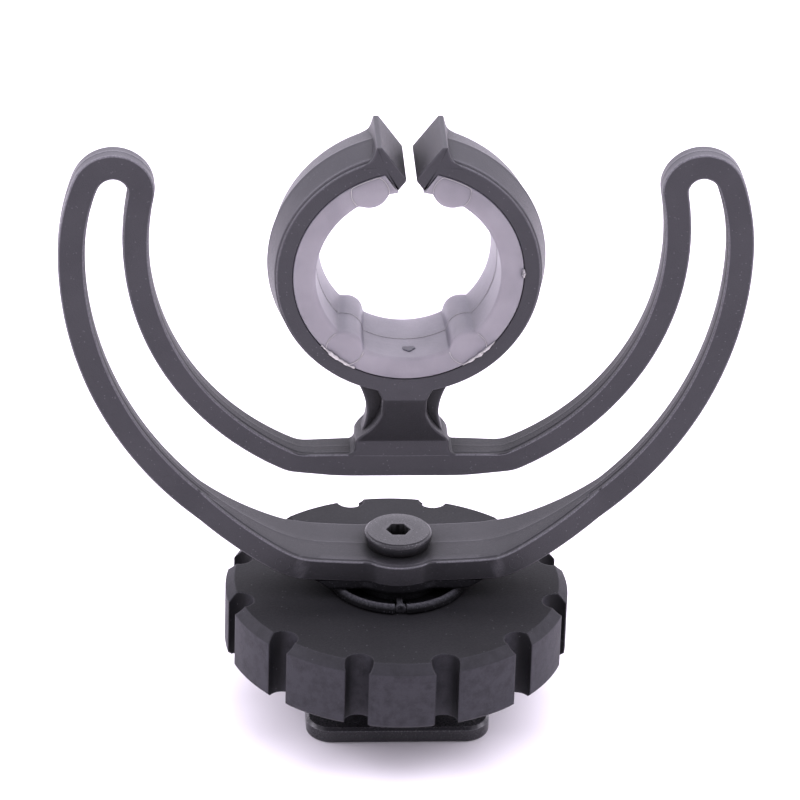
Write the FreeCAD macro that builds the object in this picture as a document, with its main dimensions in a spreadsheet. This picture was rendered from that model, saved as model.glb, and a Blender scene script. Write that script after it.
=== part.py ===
import FreeCAD, Part
import Sketcher
import math
import os

# Microphone shock mount on an accessory-shoe foot.
# A springy lyre of thin double hoops carries a split ring with a soft liner; the lyre stands on a
# saddle and an indexed turret ring above a lobed thumb wheel, which screws down a threaded stem and
# clamps the shoe's rails between the pressure plate and the foot.
# Millimetres. Origin: centre of the foot's underside. +Z up, the lyre lies in XZ, front faces -Y.

SIZES = {
    # Shoe foot
    "foot_width": 18.5,
    "foot_length": 19.2,
    "foot_thickness": 1.7,
    "foot_corner_radius": 2.6,
    "foot_top_bevel": 0.3,
    "foot_bottom_round": 0.35,
    # Threaded stem with its tripod thread bush and the captive screw's bush
    "stem_radius": 6.0,
    "thread_pitch": 1.25,
    "tripod_thread_radius": 4.0,
    "tripod_bush_wall": 0.9,
    "tripod_bush_depth": 7.0,
    "thread_depth": 0.55,
    "thread_root_flat": 0.13,
    "screw_bush_wall": 0.8,
    "screw_bush_depth": 3.6,
    # Pressure plate and thrust washer
    "shoe_gap": 2.7,
    "plate_border": 2.45,
    "plate_thickness": 1.7,
    "plate_corner_radius": 3.0,
    "washer_radius": 9.0,
    "washer_thickness": 0.3,
    # Thumb wheel
    "wheel_radius": 17.33,
    "wheel_height": 7.1,
    "wheel_chamfer": 0.9,
    "wheel_bottom_round": 0.4,
    "wheel_bush_wall": 1.9,
    "wheel_bush_step": 0.5,
    "wheel_bush_cover": 1.2,
    "wheel_mouth": 0.35,
    "notch_count": 12,
    "notch_lag": 1.1,
    "notch_radius": 1.43,
    "notch_inset": 0.85,
    # Turret ring
    "turret_radius": 7.2,
    "turret_rim_height": 0.85,
    "turret_wall": 1.3,
    "turret_crest_round": 0.75,
    "turret_crest_out": 0.15,
    "turret_crest_drop": 0.3,
    "turret_inner_drop": 0.22,
    "turret_cup_radius": 4.9,
    "turret_shelf": 0.25,
    "turret_floor": 0.4,
    "turret_sink": 0.65,
    "turret_slot_width": 1.2,
    # Saddle and index key
    "saddle_top_width": 17.2,
    "saddle_bottom_width": 13.8,
    "saddle_thickness": 0.93,
    "saddle_lip": 0.35,
    "key_radius": 6.55,
    "key_depth": 1.1,
    "key_rise": 0.35,
    "key_rib_width": 0.8,
    "saddle_post_radius": 4.2,
    # Captive screw
    "screw_radius": 1.5,
    "screw_head_radius": 3.29,
    "screw_head_height": 1.72,
    "screw_head_round": 0.8,
    "screw_skirt": 0.24,
    "screw_rim": 0.15,
    "socket_across_flats": 2.0,
    "socket_depth": 1.0,
    "screw_engagement": 3.2,
    # Lyre: base bar and outer hoops
    "bar_half_length": 11.45,
    "bar_thickness": 2.28,
    "bar_sag": 0.42,
    "bar_depth": 7.6,
    "boss_radius": 4.9,
    "boss_blend": 2.0,
    "bend_ease": 1.7,
    "hoop_reach": 34.05,
    "hoop_band": 2.62,
    "hoop_depth": 2.2,
    "flare_start": 9.9,
    "flare_end": 20.1,
    # Lyre: tips, inner hoops and inner bar
    "upper_hoop_radius": 24.0,
    "tip_radius": 4.17,
    "slot_radius": 1.5,
    "widest_below_tip": 6.9,
    "tip_above_inner_centre": 5.25,
    "hoop_gap": 3.68,
    "inner_band": 2.55,
    "inner_band_offset": 0.3,
    "bar_gap": 8.74,
    "inner_sag": 1.97,
    "inner_bar_thickness": 2.55,
    "inner_flat_half": 6.5,
    # Lyre: centre block and stem
    "block_half_width": 4.65,
    "block_height": 4.0,
    "block_depth": 3.5,
    "block_bevel": 0.45,
    "block_bevel_rise": 0.58,
    "stem_height": 6.46,
    "stem_waist_half": 2.2,
    "stem_waist_rise": 3.75,
    "stem_waist_top": 5.56,
    "stem_bend_half": 2.62,
    "stem_bend_rise": 2.58,
    "stem_fillet_half": 2.7,
    "stem_fillet_rise": 6.65,
    "stem_shoulder_half": 4.0,
    "stem_slope_rise": 5.68,
    "web_foot_drop": 0.52,
    "web_foot_half": 3.84,
    "web_foot_rise": 1.29,
    "web_waist_half": 3.57,
    "web_waist_rise": 2.9,
    "web_bend_half": 4.26,
    "web_bend_rise": 5.62,
    "web_top_half": 6.87,
    "web_depth": 2.0,
    # Lyre: split ring and lead-in lips
    "ring_inner_radius": 11.285,
    "ring_wall": 1.6,
    "ring_ridge": 0.75,
    "ring_rim": 0.37,
    "ring_step": 0.15,
    "ring_step_width": 0.11,
    "ring_depth": 7.4,
    "lip_height": 1.05,
    "lip_spread": 3.4,
    "lip_tip_thickness": 0.45,
    "lip_base_half": 3.8,
    "lip_base_drop": 0.35,
    "lip_root_half": 3.7,
    "lip_root_drop": 0.45,
    "mouth_half_gap": 0.5,
    "neck_drop": 0.2,
    "nose_depth": 2.0,
    "nose_tip_half": 1.25,
    "nose_root_half": 2.7,
    # Soft liner
    "liner_thickness": 2.37,
    "liner_rib_radius": 1.87,
    "liner_rib_height": 0.85,
    "liner_rib_upper_angle": 23.5,
    "liner_rib_lower_angle": 37.5,
    # Clearances
    "seat_clearance": 0.02,
    "running_clearance": 0.05,
    "lift_clearance": 0.1,
    "screw_clearance": 0.15,
}

DOCUMENT = FreeCAD.newDocument("ShockMount")
SHEET = DOCUMENT.addObject("Spreadsheet::Sheet", "Sizes")
UP = FreeCAD.Vector(0, 0, 1)
FRONT_PLANE = FreeCAD.Rotation(FreeCAD.Vector(1, 0, 0), 90)
NODES = []
NEAR = 0.001


def fill_sheet():
    """One row for each size: its name beside its plain number, which carries the name as alias."""
    for row, (name, number) in enumerate(SIZES.items(), start=1):
        SHEET.set(f"A{row}", name)
        SHEET.set(f"B{row}", str(number))
        SHEET.setAlias(f"B{row}", name)
    DOCUMENT.recompute()


def size(name):
    """The number that the sheet holds for a size."""
    return float(SHEET.get(name))


def cell(name):
    """The sheet's reference to a size, for an expression."""
    return f"Sizes.{name}"


def total(*names):
    """An expression that adds sizes, each given by its name."""
    return " + ".join(cell(name) for name in names)


# Heights of the stacked pieces, each as the list of sizes that it adds up to
FOOT_TOP = ["foot_thickness"]
PLATE_BASE = FOOT_TOP + ["shoe_gap"]
PLATE_TOP = PLATE_BASE + ["plate_thickness"]
WASHER_TOP = PLATE_TOP + ["washer_thickness"]
WHEEL_BASE = WASHER_TOP + ["running_clearance"]
WHEEL_TOP = WHEEL_BASE + ["wheel_height"]
TURRET_BASE = WHEEL_TOP + ["lift_clearance"]
TURRET_CREST = TURRET_BASE + ["turret_rim_height"]
SADDLE_BASE = TURRET_CREST + ["seat_clearance"]
BAR_BASE = SADDLE_BASE + ["saddle_thickness"]
BAR_TOP = BAR_BASE + ["bar_thickness"]


def height(level):
    """The number of millimetres that a level of the stack lies above the foot's underside."""
    return sum(size(name) for name in level)


def make(kind, name, **expressions):
    """A Part object whose properties are bound to the sheet by the expressions given."""
    item = DOCUMENT.addObject(kind, name)
    for key, expression in expressions.items():
        item.setExpression(key.replace("_", "."), expression)
    return item


def cylinder(name, radius, length, base="0"):
    """An upright cylinder on the stack's axis."""
    return make("Part::Cylinder", name, Radius=radius, Height=length, Placement_Base_z=base)


def cut(name, base, tool):
    """What is left of one object without another."""
    item = DOCUMENT.addObject("Part::Cut", name)
    item.Base = base
    item.Tool = tool
    return item


def fuse(name, *parts):
    """Several objects joined into one, without the seams between them."""
    item = DOCUMENT.addObject("Part::MultiFuse", name)
    item.Shapes = list(parts)
    item.Refine = True
    return item


def common(name, *parts):
    """What two objects share."""
    item = DOCUMENT.addObject("Part::MultiCommon", name)
    item.Shapes = list(parts)
    return item


def finish(item, label):
    """Give a finished sub-part the name of its node."""
    item.Label = label
    NODES.append(item)
    return item


def tube(name, outer, inner, length, base):
    """A plain ring on the stack's axis."""
    shell = cylinder(name + "Outside", outer, length, base)
    bore = cylinder(name + "Bore", inner, length, base)
    return cut(name, shell, bore)


def vector(point):
    """A sketch's point as a vector."""
    return FreeCAD.Vector(point[0], point[1], 0)


def middle(centre, start, end):
    """The point half way along the short arc between two points, about a centre."""
    spoke_start = vector(start) - vector(centre)
    spoke_end = vector(end) - vector(centre)
    spoke = spoke_start + spoke_end
    spoke.Length = spoke_start.Length
    point = vector(centre) + spoke
    return (point.x, point.y)


def draw(sketch, start, steps):
    """Draw a closed outline: each step is an end point, or an arc's middle and end points."""
    here = start
    for step in steps:
        if isinstance(step[0], tuple):
            end = step[1]
            sketch.addGeometry(Part.Arc(vector(here), vector(step[0]), vector(end)))
        else:
            end = step
            sketch.addGeometry(Part.LineSegment(vector(here), vector(end)))
        here = end


def flipped(point):
    """A point on the other side of the middle plane."""
    return (-point[0], point[1])


def both_sides(start, steps):
    """Continue a right-hand outline from the middle line round the left side, back to its start."""
    corners = [start]
    for step in steps:
        corners.append(step[1] if isinstance(step[0], tuple) else step)
    returned = []
    for index in range(len(steps) - 1, -1, -1):
        end = flipped(corners[index])
        if isinstance(steps[index][0], tuple):
            returned.append((flipped(steps[index][0]), end))
        else:
            returned.append(end)
    kept = [step for step, before in zip(returned, [corners[-1]] + returned) if step != before]
    return steps + kept


def front_slab(name, start, steps, depth):
    """An outline in the front view, as thick as a depth, half of it each side of the middle."""
    sketch = DOCUMENT.addObject("Sketcher::SketchObject", name + "Outline")
    sketch.Placement.Rotation = FRONT_PLANE
    draw(sketch, start, steps)
    slab = make("Part::Extrusion", name, LengthFwd=depth)
    slab.Base = sketch
    slab.DirMode = "Normal"
    slab.Solid = True
    slab.Symmetric = True
    return slab


def plan_slab(name, start, steps, length):
    """An outline in the top view, raised from the ground."""
    sketch = DOCUMENT.addObject("Sketcher::SketchObject", name + "Outline")
    draw(sketch, start, steps)
    slab = make("Part::Extrusion", name)
    slab.Base = sketch
    slab.DirMode = "Normal"
    slab.Solid = True
    slab.LengthFwd = length
    return slab


def new_body(name):
    """An empty body."""
    return DOCUMENT.addObject("PartDesign::Body", name)


def body_sketch(body, name, role):
    """A sketch on one of its body's own origin planes."""
    sketch = body.newObject("Sketcher::SketchObject", name)
    plane = [item for item in body.Origin.OriginFeatures if item.Role == role][0]
    sketch.AttachmentSupport = [(plane, "")]
    sketch.MapMode = "FlatFace"
    return sketch


def turned_body(name, profile):
    """A body made by turning a profile of (radius, height) steps about the upright axis."""
    body = new_body(name)
    sketch = body_sketch(body, name + "Profile", "XZ_Plane")
    draw(sketch, profile[-1], profile)
    turned = body.newObject("PartDesign::Revolution", name + "Turned")
    turned.Profile = sketch
    turned.ReferenceAxis = (sketch, ["V_Axis"])
    turned.Angle = 360
    DOCUMENT.recompute()
    return body


def pocket(body, name, sketch, depth):
    """Cut a sketch's outline into a body, upwards from the sketch, and make sure that it cuts."""
    before = body.Shape.Volume
    feature = body.newObject("PartDesign::Pocket", name)
    feature.Profile = sketch
    feature.Reversed = True
    feature.setExpression("Length", depth)
    DOCUMENT.recompute()
    if body.Shape.Volume >= before:
        raise RuntimeError(name + " cuts nothing")
    return feature


def upright_edges(shape):
    """The numbers of a shape's straight edges that stand upright."""
    found = []
    for number, edge in enumerate(shape.Edges, start=1):
        run = edge.Vertexes[-1].Point - edge.Vertexes[0].Point
        if run.Length > NEAR and abs(abs(run.normalize().z) - 1) < NEAR:
            found.append(number)
    return found


def edges_at(shape, level):
    """The names of the edges that lie flat at one height."""
    names = []
    for number, edge in enumerate(shape.Edges, start=1):
        box = edge.BoundBox
        if abs(box.ZMin - level) < NEAR and abs(box.ZMax - level) < NEAR:
            names.append(f"Edge{number}")
    return names


def shoe_foot():
    """The plate that slides into the accessory shoe, with its edges eased and a hole for the stem."""
    body = new_body("ShoeFoot")
    sketch = body_sketch(body, "ShoeFootOutline", "XY_Plane")
    half_width = size("foot_width") / 2
    half_length = size("foot_length") / 2
    corners = [
        (half_width, -half_length),
        (half_width, half_length),
        (-half_width, half_length),
        (-half_width, -half_length),
    ]
    draw(sketch, corners[-1], corners)
    plate = body.newObject("PartDesign::Pad", "ShoeFootPlate")
    plate.Profile = sketch
    plate.setExpression("Length", cell("foot_thickness"))
    DOCUMENT.recompute()
    corner = body.newObject("PartDesign::Fillet", "ShoeFootCorners")
    corner.Base = (plate, [f"Edge{number}" for number in upright_edges(plate.Shape)])
    corner.setExpression("Radius", cell("foot_corner_radius"))
    DOCUMENT.recompute()
    bevel = body.newObject("PartDesign::Chamfer", "ShoeFootTopBevel")
    bevel.Base = (corner, edges_at(corner.Shape, height(FOOT_TOP)))
    bevel.setExpression("Size", cell("foot_top_bevel"))
    DOCUMENT.recompute()
    eased = body.newObject("PartDesign::Fillet", "ShoeFootBottomRound")
    eased.Base = (bevel, edges_at(bevel.Shape, 0))
    eased.setExpression("Radius", cell("foot_bottom_round"))
    DOCUMENT.recompute()
    hole = body_sketch(body, "ShoeFootHoleOutline", "XY_Plane")
    circle = hole.addGeometry(Part.Circle(FreeCAD.Vector(0, 0, 0), UP, size("stem_radius")))
    hole.addConstraint(Sketcher.Constraint("Coincident", circle, 3, -1, 1))
    wall = hole.addConstraint(Sketcher.Constraint("Radius", circle, size("stem_radius")))
    hole.setExpression(f"Constraints[{wall}]", total("stem_radius", "seat_clearance"))
    pocket(body, "ShoeFootHole", hole, cell("foot_thickness"))
    finish(body, "shoe_foot")


def thread_profile():
    """Half the post's outline: plain in the foot and at the top, with thread grooves between."""
    radius = size("stem_radius")
    root = radius - size("thread_depth")
    pitch = size("thread_pitch")
    top = height(TURRET_BASE) - size("turret_sink") - size("seat_clearance")
    start = height(FOOT_TOP) + pitch / 2
    turns = int((top - start) / pitch)
    half_flat = size("thread_root_flat") / 2
    profile = [(0, 0), (radius, 0)]
    for turn in range(turns):
        crest = start + turn * pitch
        groove = crest + pitch / 2
        profile += [(radius, crest), (root, groove - half_flat), (root, groove + half_flat)]
    return profile + [(radius, start + turns * pitch), (radius, top), (0, top)]


def stem():
    """The upright post: a bore below for the tripod bush, one above for the captive screw's bush."""
    top = total(*TURRET_BASE) + f" - {cell('turret_sink')} - {cell('seat_clearance')}"
    post = turned_body("StemPost", thread_profile())
    tripod_bore = cylinder(
        "StemTripodBore",
        total("tripod_thread_radius", "tripod_bush_wall", "seat_clearance"),
        total("tripod_bush_depth", "seat_clearance"),
    )
    screw_bore = cylinder(
        "StemScrewBore",
        total("screw_radius", "screw_bush_wall", "seat_clearance"),
        total("screw_bush_depth", "seat_clearance"),
        f"{top} - ({total('screw_bush_depth', 'seat_clearance')})",
    )
    bored = cut("StemBored", post, tripod_bore)
    finish(cut("Stem", bored, screw_bore), "stem")
    finish(
        tube(
            "ScrewBush",
            total("screw_radius", "screw_bush_wall"),
            total("screw_radius", "seat_clearance"),
            cell("screw_bush_depth"),
            f"{top} - {cell('screw_bush_depth')}",
        ),
        "screw_bush",
    )


def tripod_bush():
    """The threaded bush in the stem's foot, flush with the foot's underside."""
    bush = tube(
        "TripodBush",
        total("tripod_thread_radius", "tripod_bush_wall"),
        cell("tripod_thread_radius"),
        cell("tripod_bush_depth"),
        "0",
    )
    finish(bush, "tripod_bush")


def pressure_plate():
    """The sliding plate that bears on the shoe's rails, and the thrust washer on top of it."""
    base = total(*PLATE_BASE)
    half_width = total("stem_radius", "running_clearance", "plate_border")
    blank = make(
        "Part::Box",
        "PressurePlateBlank",
        Length=f"2 * ({half_width})",
        Width=f"2 * ({half_width})",
        Height=cell("plate_thickness"),
        Placement_Base_x=f"-({half_width})",
        Placement_Base_y=f"-({half_width})",
        Placement_Base_z=base,
    )
    DOCUMENT.recompute()
    corner = size("plate_corner_radius")
    rounded = DOCUMENT.addObject("Part::Fillet", "PressurePlateRounded")
    rounded.Base = blank
    rounded.Edges = [(number, corner, corner) for number in upright_edges(blank.Shape)]
    bore_radius = total("stem_radius", "running_clearance")
    bore = cylinder("PressurePlateBore", bore_radius, cell("plate_thickness"), base)
    finish(cut("PressurePlate", rounded, bore), "pressure_plate")
    washer = tube(
        "ThrustWasher",
        cell("washer_radius"),
        bore_radius,
        cell("washer_thickness"),
        total(*PLATE_TOP),
    )
    finish(washer, "thrust_washer")


def wheel_bush():
    """The threaded bush that carries the wheel along the stem, with a collar to hold the wheel."""
    bore_radius = size("stem_radius") + size("running_clearance")
    barrel_radius = bore_radius + size("wheel_bush_wall")
    collar_radius = barrel_radius + size("wheel_bush_step")
    base = height(WHEEL_BASE)
    top = height(WHEEL_TOP) - size("wheel_bush_cover")
    collar_top = base + size("wheel_bush_step")
    profile = [
        (bore_radius, base),
        (collar_radius, base),
        (collar_radius, collar_top),
        (barrel_radius, collar_top),
        (barrel_radius, top),
        (bore_radius, top),
    ]
    finish(turned_body("WheelBush", profile), "wheel_bush")


def thumb_wheel():
    """The moulded wheel: a chamfered disc with round notches all round its rim."""
    clearance = size("seat_clearance")
    barrel_radius = size("stem_radius") + size("running_clearance") + size("wheel_bush_wall")
    bore_radius = barrel_radius + clearance
    collar_radius = bore_radius + size("wheel_bush_step")
    mouth_radius = size("stem_radius") + size("wheel_mouth")
    rim = size("wheel_radius")
    chamfer = size("wheel_chamfer")
    ease = size("wheel_bottom_round")
    base = height(WHEEL_BASE)
    top = height(WHEEL_TOP)
    collar_top = base + size("wheel_bush_step") + clearance
    cover = top - size("wheel_bush_cover") + clearance
    profile = [
        (collar_radius, base),
        (rim - ease, base),
        (rim, base + ease),
        (rim, top - chamfer),
        (rim - chamfer, top),
        (mouth_radius, top),
        (mouth_radius, cover),
        (bore_radius, cover),
        (bore_radius, collar_top),
        (collar_radius, collar_top),
    ]
    body = turned_body("ThumbWheel", profile)
    sketch = body_sketch(body, "ThumbWheelNotchOutline", "XY_Plane")
    count = int(size("notch_count"))
    turn = math.pi / count - math.radians(size("notch_lag"))
    reach = rim - size("notch_inset")
    centre = FreeCAD.Vector(reach * math.cos(turn), reach * math.sin(turn), 0)
    sketch.addGeometry(Part.Circle(centre, UP, size("notch_radius")))
    notch = pocket(body, "ThumbWheelNotch", sketch, total(*WHEEL_TOP))
    plain = body.Shape.Volume
    pattern = body.newObject("PartDesign::PolarPattern", "ThumbWheelNotches")
    pattern.Originals = [notch]
    pattern.Axis = (sketch, ["N_Axis"])
    pattern.Angle = 360
    pattern.setExpression("Occurrences", cell("notch_count"))
    body.Tip = pattern
    DOCUMENT.recompute()
    if body.Shape.Volume >= plain:
        raise RuntimeError("the notches aren't repeated")
    finish(body, "thumb_wheel")


def turret_ring():
    """The indexed ring: a cup in the wheel's mouth with a round rim and a slot at the front."""
    base = height(TURRET_BASE)
    crest = height(TURRET_CREST)
    outside = size("turret_radius")
    inside = outside - size("turret_wall")
    shelf = base + size("turret_shelf")
    bore = size("screw_radius") + size("screw_clearance")
    plug_radius = size("stem_radius") - size("seat_clearance")
    plug_base = base - size("turret_sink")
    floor_top = plug_base + size("turret_floor")
    crest_middle = (outside - size("turret_crest_out"), crest - size("turret_crest_drop"))
    profile = [
        (bore, plug_base),
        (plug_radius, plug_base),
        (plug_radius, base),
        (outside, base),
        (crest_middle, (outside - size("turret_crest_round"), crest)),
        (inside, crest - size("turret_inner_drop")),
        (inside, shelf),
        (size("turret_cup_radius"), shelf),
        (size("turret_cup_radius"), floor_top),
        (bore, floor_top),
    ]
    body = turned_body("TurretRing", profile)
    slot = body_sketch(body, "TurretRingSlotOutline", "XY_Plane")
    half = size("turret_slot_width") / 2
    slot.AttachmentOffset.Base.z = base
    corners = [
        (half, -outside - half),
        (half, half - size("turret_cup_radius")),
        (-half, half - size("turret_cup_radius")),
        (-half, -outside - half),
    ]
    draw(slot, corners[-1], corners)
    pocket(body, "TurretRingSlot", slot, total("turret_rim_height"))
    finish(body, "turret_ring")


def saddle():
    """The saddle under the bar: sloping ends, a round boss, and the key that sits in the slot."""
    top_half = size("saddle_top_width") / 2
    bottom_half = size("saddle_bottom_width") / 2
    base = height(SADDLE_BASE)
    thickness = size("saddle_thickness")
    top = base + thickness
    rise = size("bar_sag") * (top_half / size("bar_half_length")) ** 2
    right_end = (top_half, top + rise)
    left_end = (-top_half, top + rise)
    steps = [
        (bottom_half, base),
        right_end,
        ((0, top), left_end),
        (-bottom_half, base),
    ]
    depth = f"{cell('bar_depth')} + 2 * {cell('saddle_lip')}"
    plate = front_slab("SaddlePlate", (-bottom_half, base), steps, depth)
    boss = cylinder(
        "SaddleBoss",
        total("boss_radius", "saddle_lip"),
        cell("saddle_thickness"),
        total(*SADDLE_BASE),
    )
    post_base = total(*TURRET_BASE) + f" - {cell('turret_sink')} + {cell('turret_floor')}"
    post = cylinder(
        "SaddlePost",
        cell("saddle_post_radius"),
        f"{total(*SADDLE_BASE)} - ({post_base}) - {cell('seat_clearance')}",
        f"{post_base} + {cell('seat_clearance')}",
    )
    rib = make(
        "Part::Box",
        "SaddleKeyRib",
        Length=cell("key_rib_width"),
        Width=cell("key_radius"),
        Height=total("turret_rim_height", "key_rise"),
        Placement_Base_x=f"-{cell('key_rib_width')} / 2",
        Placement_Base_y=f"-{cell('key_radius')}",
        Placement_Base_z=f"{total(*TURRET_BASE)} + {cell('seat_clearance')}",
    )
    key = key_block()
    solid = fuse("SaddleSolid", plate, boss, post, rib, key)
    hole = cylinder(
        "SaddleHole",
        total("screw_radius", "screw_clearance"),
        total(*BAR_TOP),
    )
    finish(cut("Saddle", solid, hole), "lyre_saddle")


def key_block():
    """The upright key with a round top, as wide as the turret's slot less its clearance."""
    half = size("turret_slot_width") / 2 - size("running_clearance")
    base = height(TURRET_BASE) + size("seat_clearance")
    shoulder = height(TURRET_CREST) + size("key_rise") - half
    steps = [
        (half, base),
        (half, shoulder),
        ((0, shoulder + half), (-half, shoulder)),
        (-half, base),
    ]
    block = front_slab("SaddleKey", (-half, base), steps, cell("key_depth"))
    block.setExpression("Placement.Base.y", f"-{cell('key_radius')}")
    return block


def captive_screw():
    """The screw that ties the lyre, saddle and turret to the stem, with a hexagon socket."""
    radius = size("screw_radius")
    head_radius = size("screw_head_radius")
    seat = height(BAR_TOP) + size("seat_clearance")
    top = seat + size("screw_head_height")
    ease = size("screw_head_round")
    rim = size("screw_rim")
    skirt = size("screw_skirt")
    stem_top = height(TURRET_BASE) - size("turret_sink")
    tip = stem_top - size("screw_engagement")
    profile = [
        (0, tip),
        (radius, tip),
        (radius, seat),
        (head_radius - ease, seat),
        ((head_radius - skirt, seat + skirt), (head_radius, seat + ease)),
        (head_radius, top - rim),
        (head_radius - rim, top),
        (0, top),
    ]
    body = turned_body("CaptiveScrew", profile)
    socket = body_sketch(body, "CaptiveScrewSocketOutline", "XY_Plane")
    socket.AttachmentOffset.Base.z = top - size("socket_depth")
    corner_radius = size("socket_across_flats") / math.sqrt(3)
    corners = [
        (corner_radius * math.cos(turn * math.pi / 3), corner_radius * math.sin(turn * math.pi / 3))
        for turn in range(6)
    ]
    draw(socket, corners[-1], corners)
    pocket(body, "CaptiveScrewSocket", socket, cell("socket_depth"))
    finish(body, "captive_screw")


class LyreShape:
    """The lyre's places, worked out once from the sizes; heights are above the foot's underside."""

    def __init__(self):
        self.base = height(BAR_BASE)
        self.inner_base = height(BAR_TOP) + size("bar_gap")
        self.inner_radius = size("hoop_reach") - size("hoop_band") - size("hoop_gap")
        self.inner_centre = (0, self.inner_base - size("inner_sag") + self.inner_radius)
        self.tip_height = self.inner_centre[1] + size("tip_above_inner_centre")
        self.widest = self.tip_height - size("widest_below_tip")
        upper = size("upper_hoop_radius")
        self.upper_centre = (size("hoop_reach") - upper, self.widest)
        reach = math.sqrt((upper - size("tip_radius")) ** 2 - size("widest_below_tip") ** 2)
        self.tip_centre = (self.upper_centre[0] + reach, self.tip_height)
        self.bar_end = (size("bar_half_length"), self.base + size("bar_sag"))
        across = size("hoop_reach") - self.bar_end[0]
        rise = self.widest - self.bar_end[1]
        self.lower_radius = (across**2 + rise**2) / (2 * across)
        self.lower_centre = (size("hoop_reach") - self.lower_radius, self.widest)
        self.block_top = self.inner_base + size("block_height")
        self.ring_outer = size("ring_inner_radius") + size("ring_wall")
        self.ring_height = self.block_top + size("stem_height") + self.ring_outer

    def on_circle(self, centre, radius, level):
        """The right-hand point of a circle at a height."""
        return (centre[0] + math.sqrt(radius**2 - (centre[1] - level) ** 2), level)

    def under_ring(self, radius, across):
        """The height at which a circle about the ring's axis passes below it, off to one side."""
        return self.ring_height - math.sqrt(radius**2 - across**2)

    def toward_tip(self, radius):
        """The point of the upper hoop's circle that faces the tip's centre."""
        spoke = vector(self.tip_centre) - vector(self.upper_centre)
        spoke.Length = radius
        point = vector(self.upper_centre) + spoke
        return (point.x, point.y)


def sagging_centre(start_level, end):
    """The centre of a shallow arc that is level at the middle line and rises to an end point."""
    rise = end[1] - start_level
    return (0, start_level + (end[0] ** 2 + rise**2) / (2 * rise))


def along(centre, point, distance):
    """The point that lies further round a centre, anticlockwise, by a distance."""
    spoke = vector(point) - vector(centre)
    turn = FreeCAD.Rotation(UP, math.degrees(distance / spoke.Length))
    moved = vector(centre) + turn.multVec(spoke)
    return (moved.x, moved.y)


def eased(before, corner, after):
    """A short arc that rounds the corner between two points near it."""
    point = (vector(before) + vector(corner) * 2 + vector(after)) * 0.25
    return ((point.x, point.y), after)


def hoop_side(start_level, corner, hoop_centre):
    """A bar's lower or upper face from the middle line, round the bend and on to the hoop."""
    centre = sagging_centre(start_level, corner)
    before = along(centre, corner, -size("bend_ease"))
    after = along(hoop_centre, corner, size("bend_ease"))
    sag = middle(centre, (0, start_level), before)
    return [(sag, before), eased(before, corner, after)]


def backwards(start, steps):
    """The same outline drawn from its end to its start."""
    corners = [start] + [step[1] if isinstance(step[0], tuple) else step for step in steps]
    returned = []
    for step, end in zip(reversed(steps), reversed(corners[:-1])):
        returned.append((step[0], end) if isinstance(step[0], tuple) else end)
    return returned


def outer_hoops(lyre):
    """The base bar and both outer hoops up to the tips, cut to their outline in the top view."""
    band = size("hoop_band")
    upper = size("upper_hoop_radius")
    widest_out = (size("hoop_reach"), lyre.widest)
    widest_in = (size("hoop_reach") - band, lyre.widest)
    tip_out = lyre.toward_tip(upper)
    tip_in = lyre.toward_tip(upper - band)
    bar_top = lyre.base + size("bar_thickness")
    inner_end_level = bar_top + size("bar_sag")
    inner_end = lyre.on_circle(lyre.lower_centre, lyre.lower_radius - band, inner_end_level)
    start = (0, lyre.base)
    below = hoop_side(lyre.base, lyre.bar_end, lyre.lower_centre)
    above = hoop_side(bar_top, inner_end, lyre.lower_centre)
    below_end = below[-1][1]
    above_end = above[-1][1]
    right = below + [
        (middle(lyre.lower_centre, below_end, widest_out), widest_out),
        (middle(lyre.upper_centre, widest_out, tip_out), tip_out),
        tip_in,
        (middle(lyre.upper_centre, tip_in, widest_in), widest_in),
        (middle(lyre.lower_centre, widest_in, above_end), above_end),
    ]
    right += backwards((0, bar_top), above)
    depth = f"2 * {cell('boss_radius')}"
    band_slab = front_slab("OuterHoopBand", start, both_sides(start, right), depth)
    beyond = size("hoop_reach") + band
    front, plan = hoop_plan(beyond)
    plan_outline = plan_slab("OuterHoopPlan", front, both_sides(front, plan), lyre.tip_height + beyond)
    return common("OuterHoops", band_slab, plan_outline)


def hoop_plan(beyond):
    """The right half of the top view: the boss, blended into the bar, which thins to the hoop."""
    boss = size("boss_radius")
    blend = size("boss_blend")
    half_bar = size("bar_depth") / 2
    half_hoop = size("hoop_depth") / 2
    across = math.sqrt((boss + blend) ** 2 - (half_bar + blend) ** 2)
    share = boss / (boss + blend)
    touch = (across * share, -(half_bar + blend) * share)
    foot = (across, -half_bar)
    blend_middle = middle((across, -half_bar - blend), touch, foot)
    front = (0, -boss)
    half = [
        (middle((0, 0), front, touch), touch),
        (blend_middle, foot),
        (size("flare_start"), -half_bar),
        (size("flare_end"), -half_hoop),
        (beyond, -half_hoop),
    ]
    back_start = mirrored_back([front])[0]
    back = mirrored_back(half)
    return front, half + [back[-1]] + backwards(back_start, back)


def mirrored_back(steps):
    """An outline's steps mirrored from the front to the back."""
    returned = []
    for step in steps:
        if isinstance(step[0], tuple):
            returned.append(((step[0][0], -step[0][1]), (step[1][0], -step[1][1])))
        else:
            returned.append((step[0], -step[1]))
    return returned


def four_corners(quarter):
    """A closed outline from the points of its right-hand back quarter, mirrored both ways."""
    right_front = [(x, -y) for x, y in reversed(quarter)]
    left_front = [(-x, -y) for x, y in quarter]
    left_back = [(-x, y) for x, y in reversed(quarter)]
    return quarter + right_front + left_front + left_back


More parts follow.
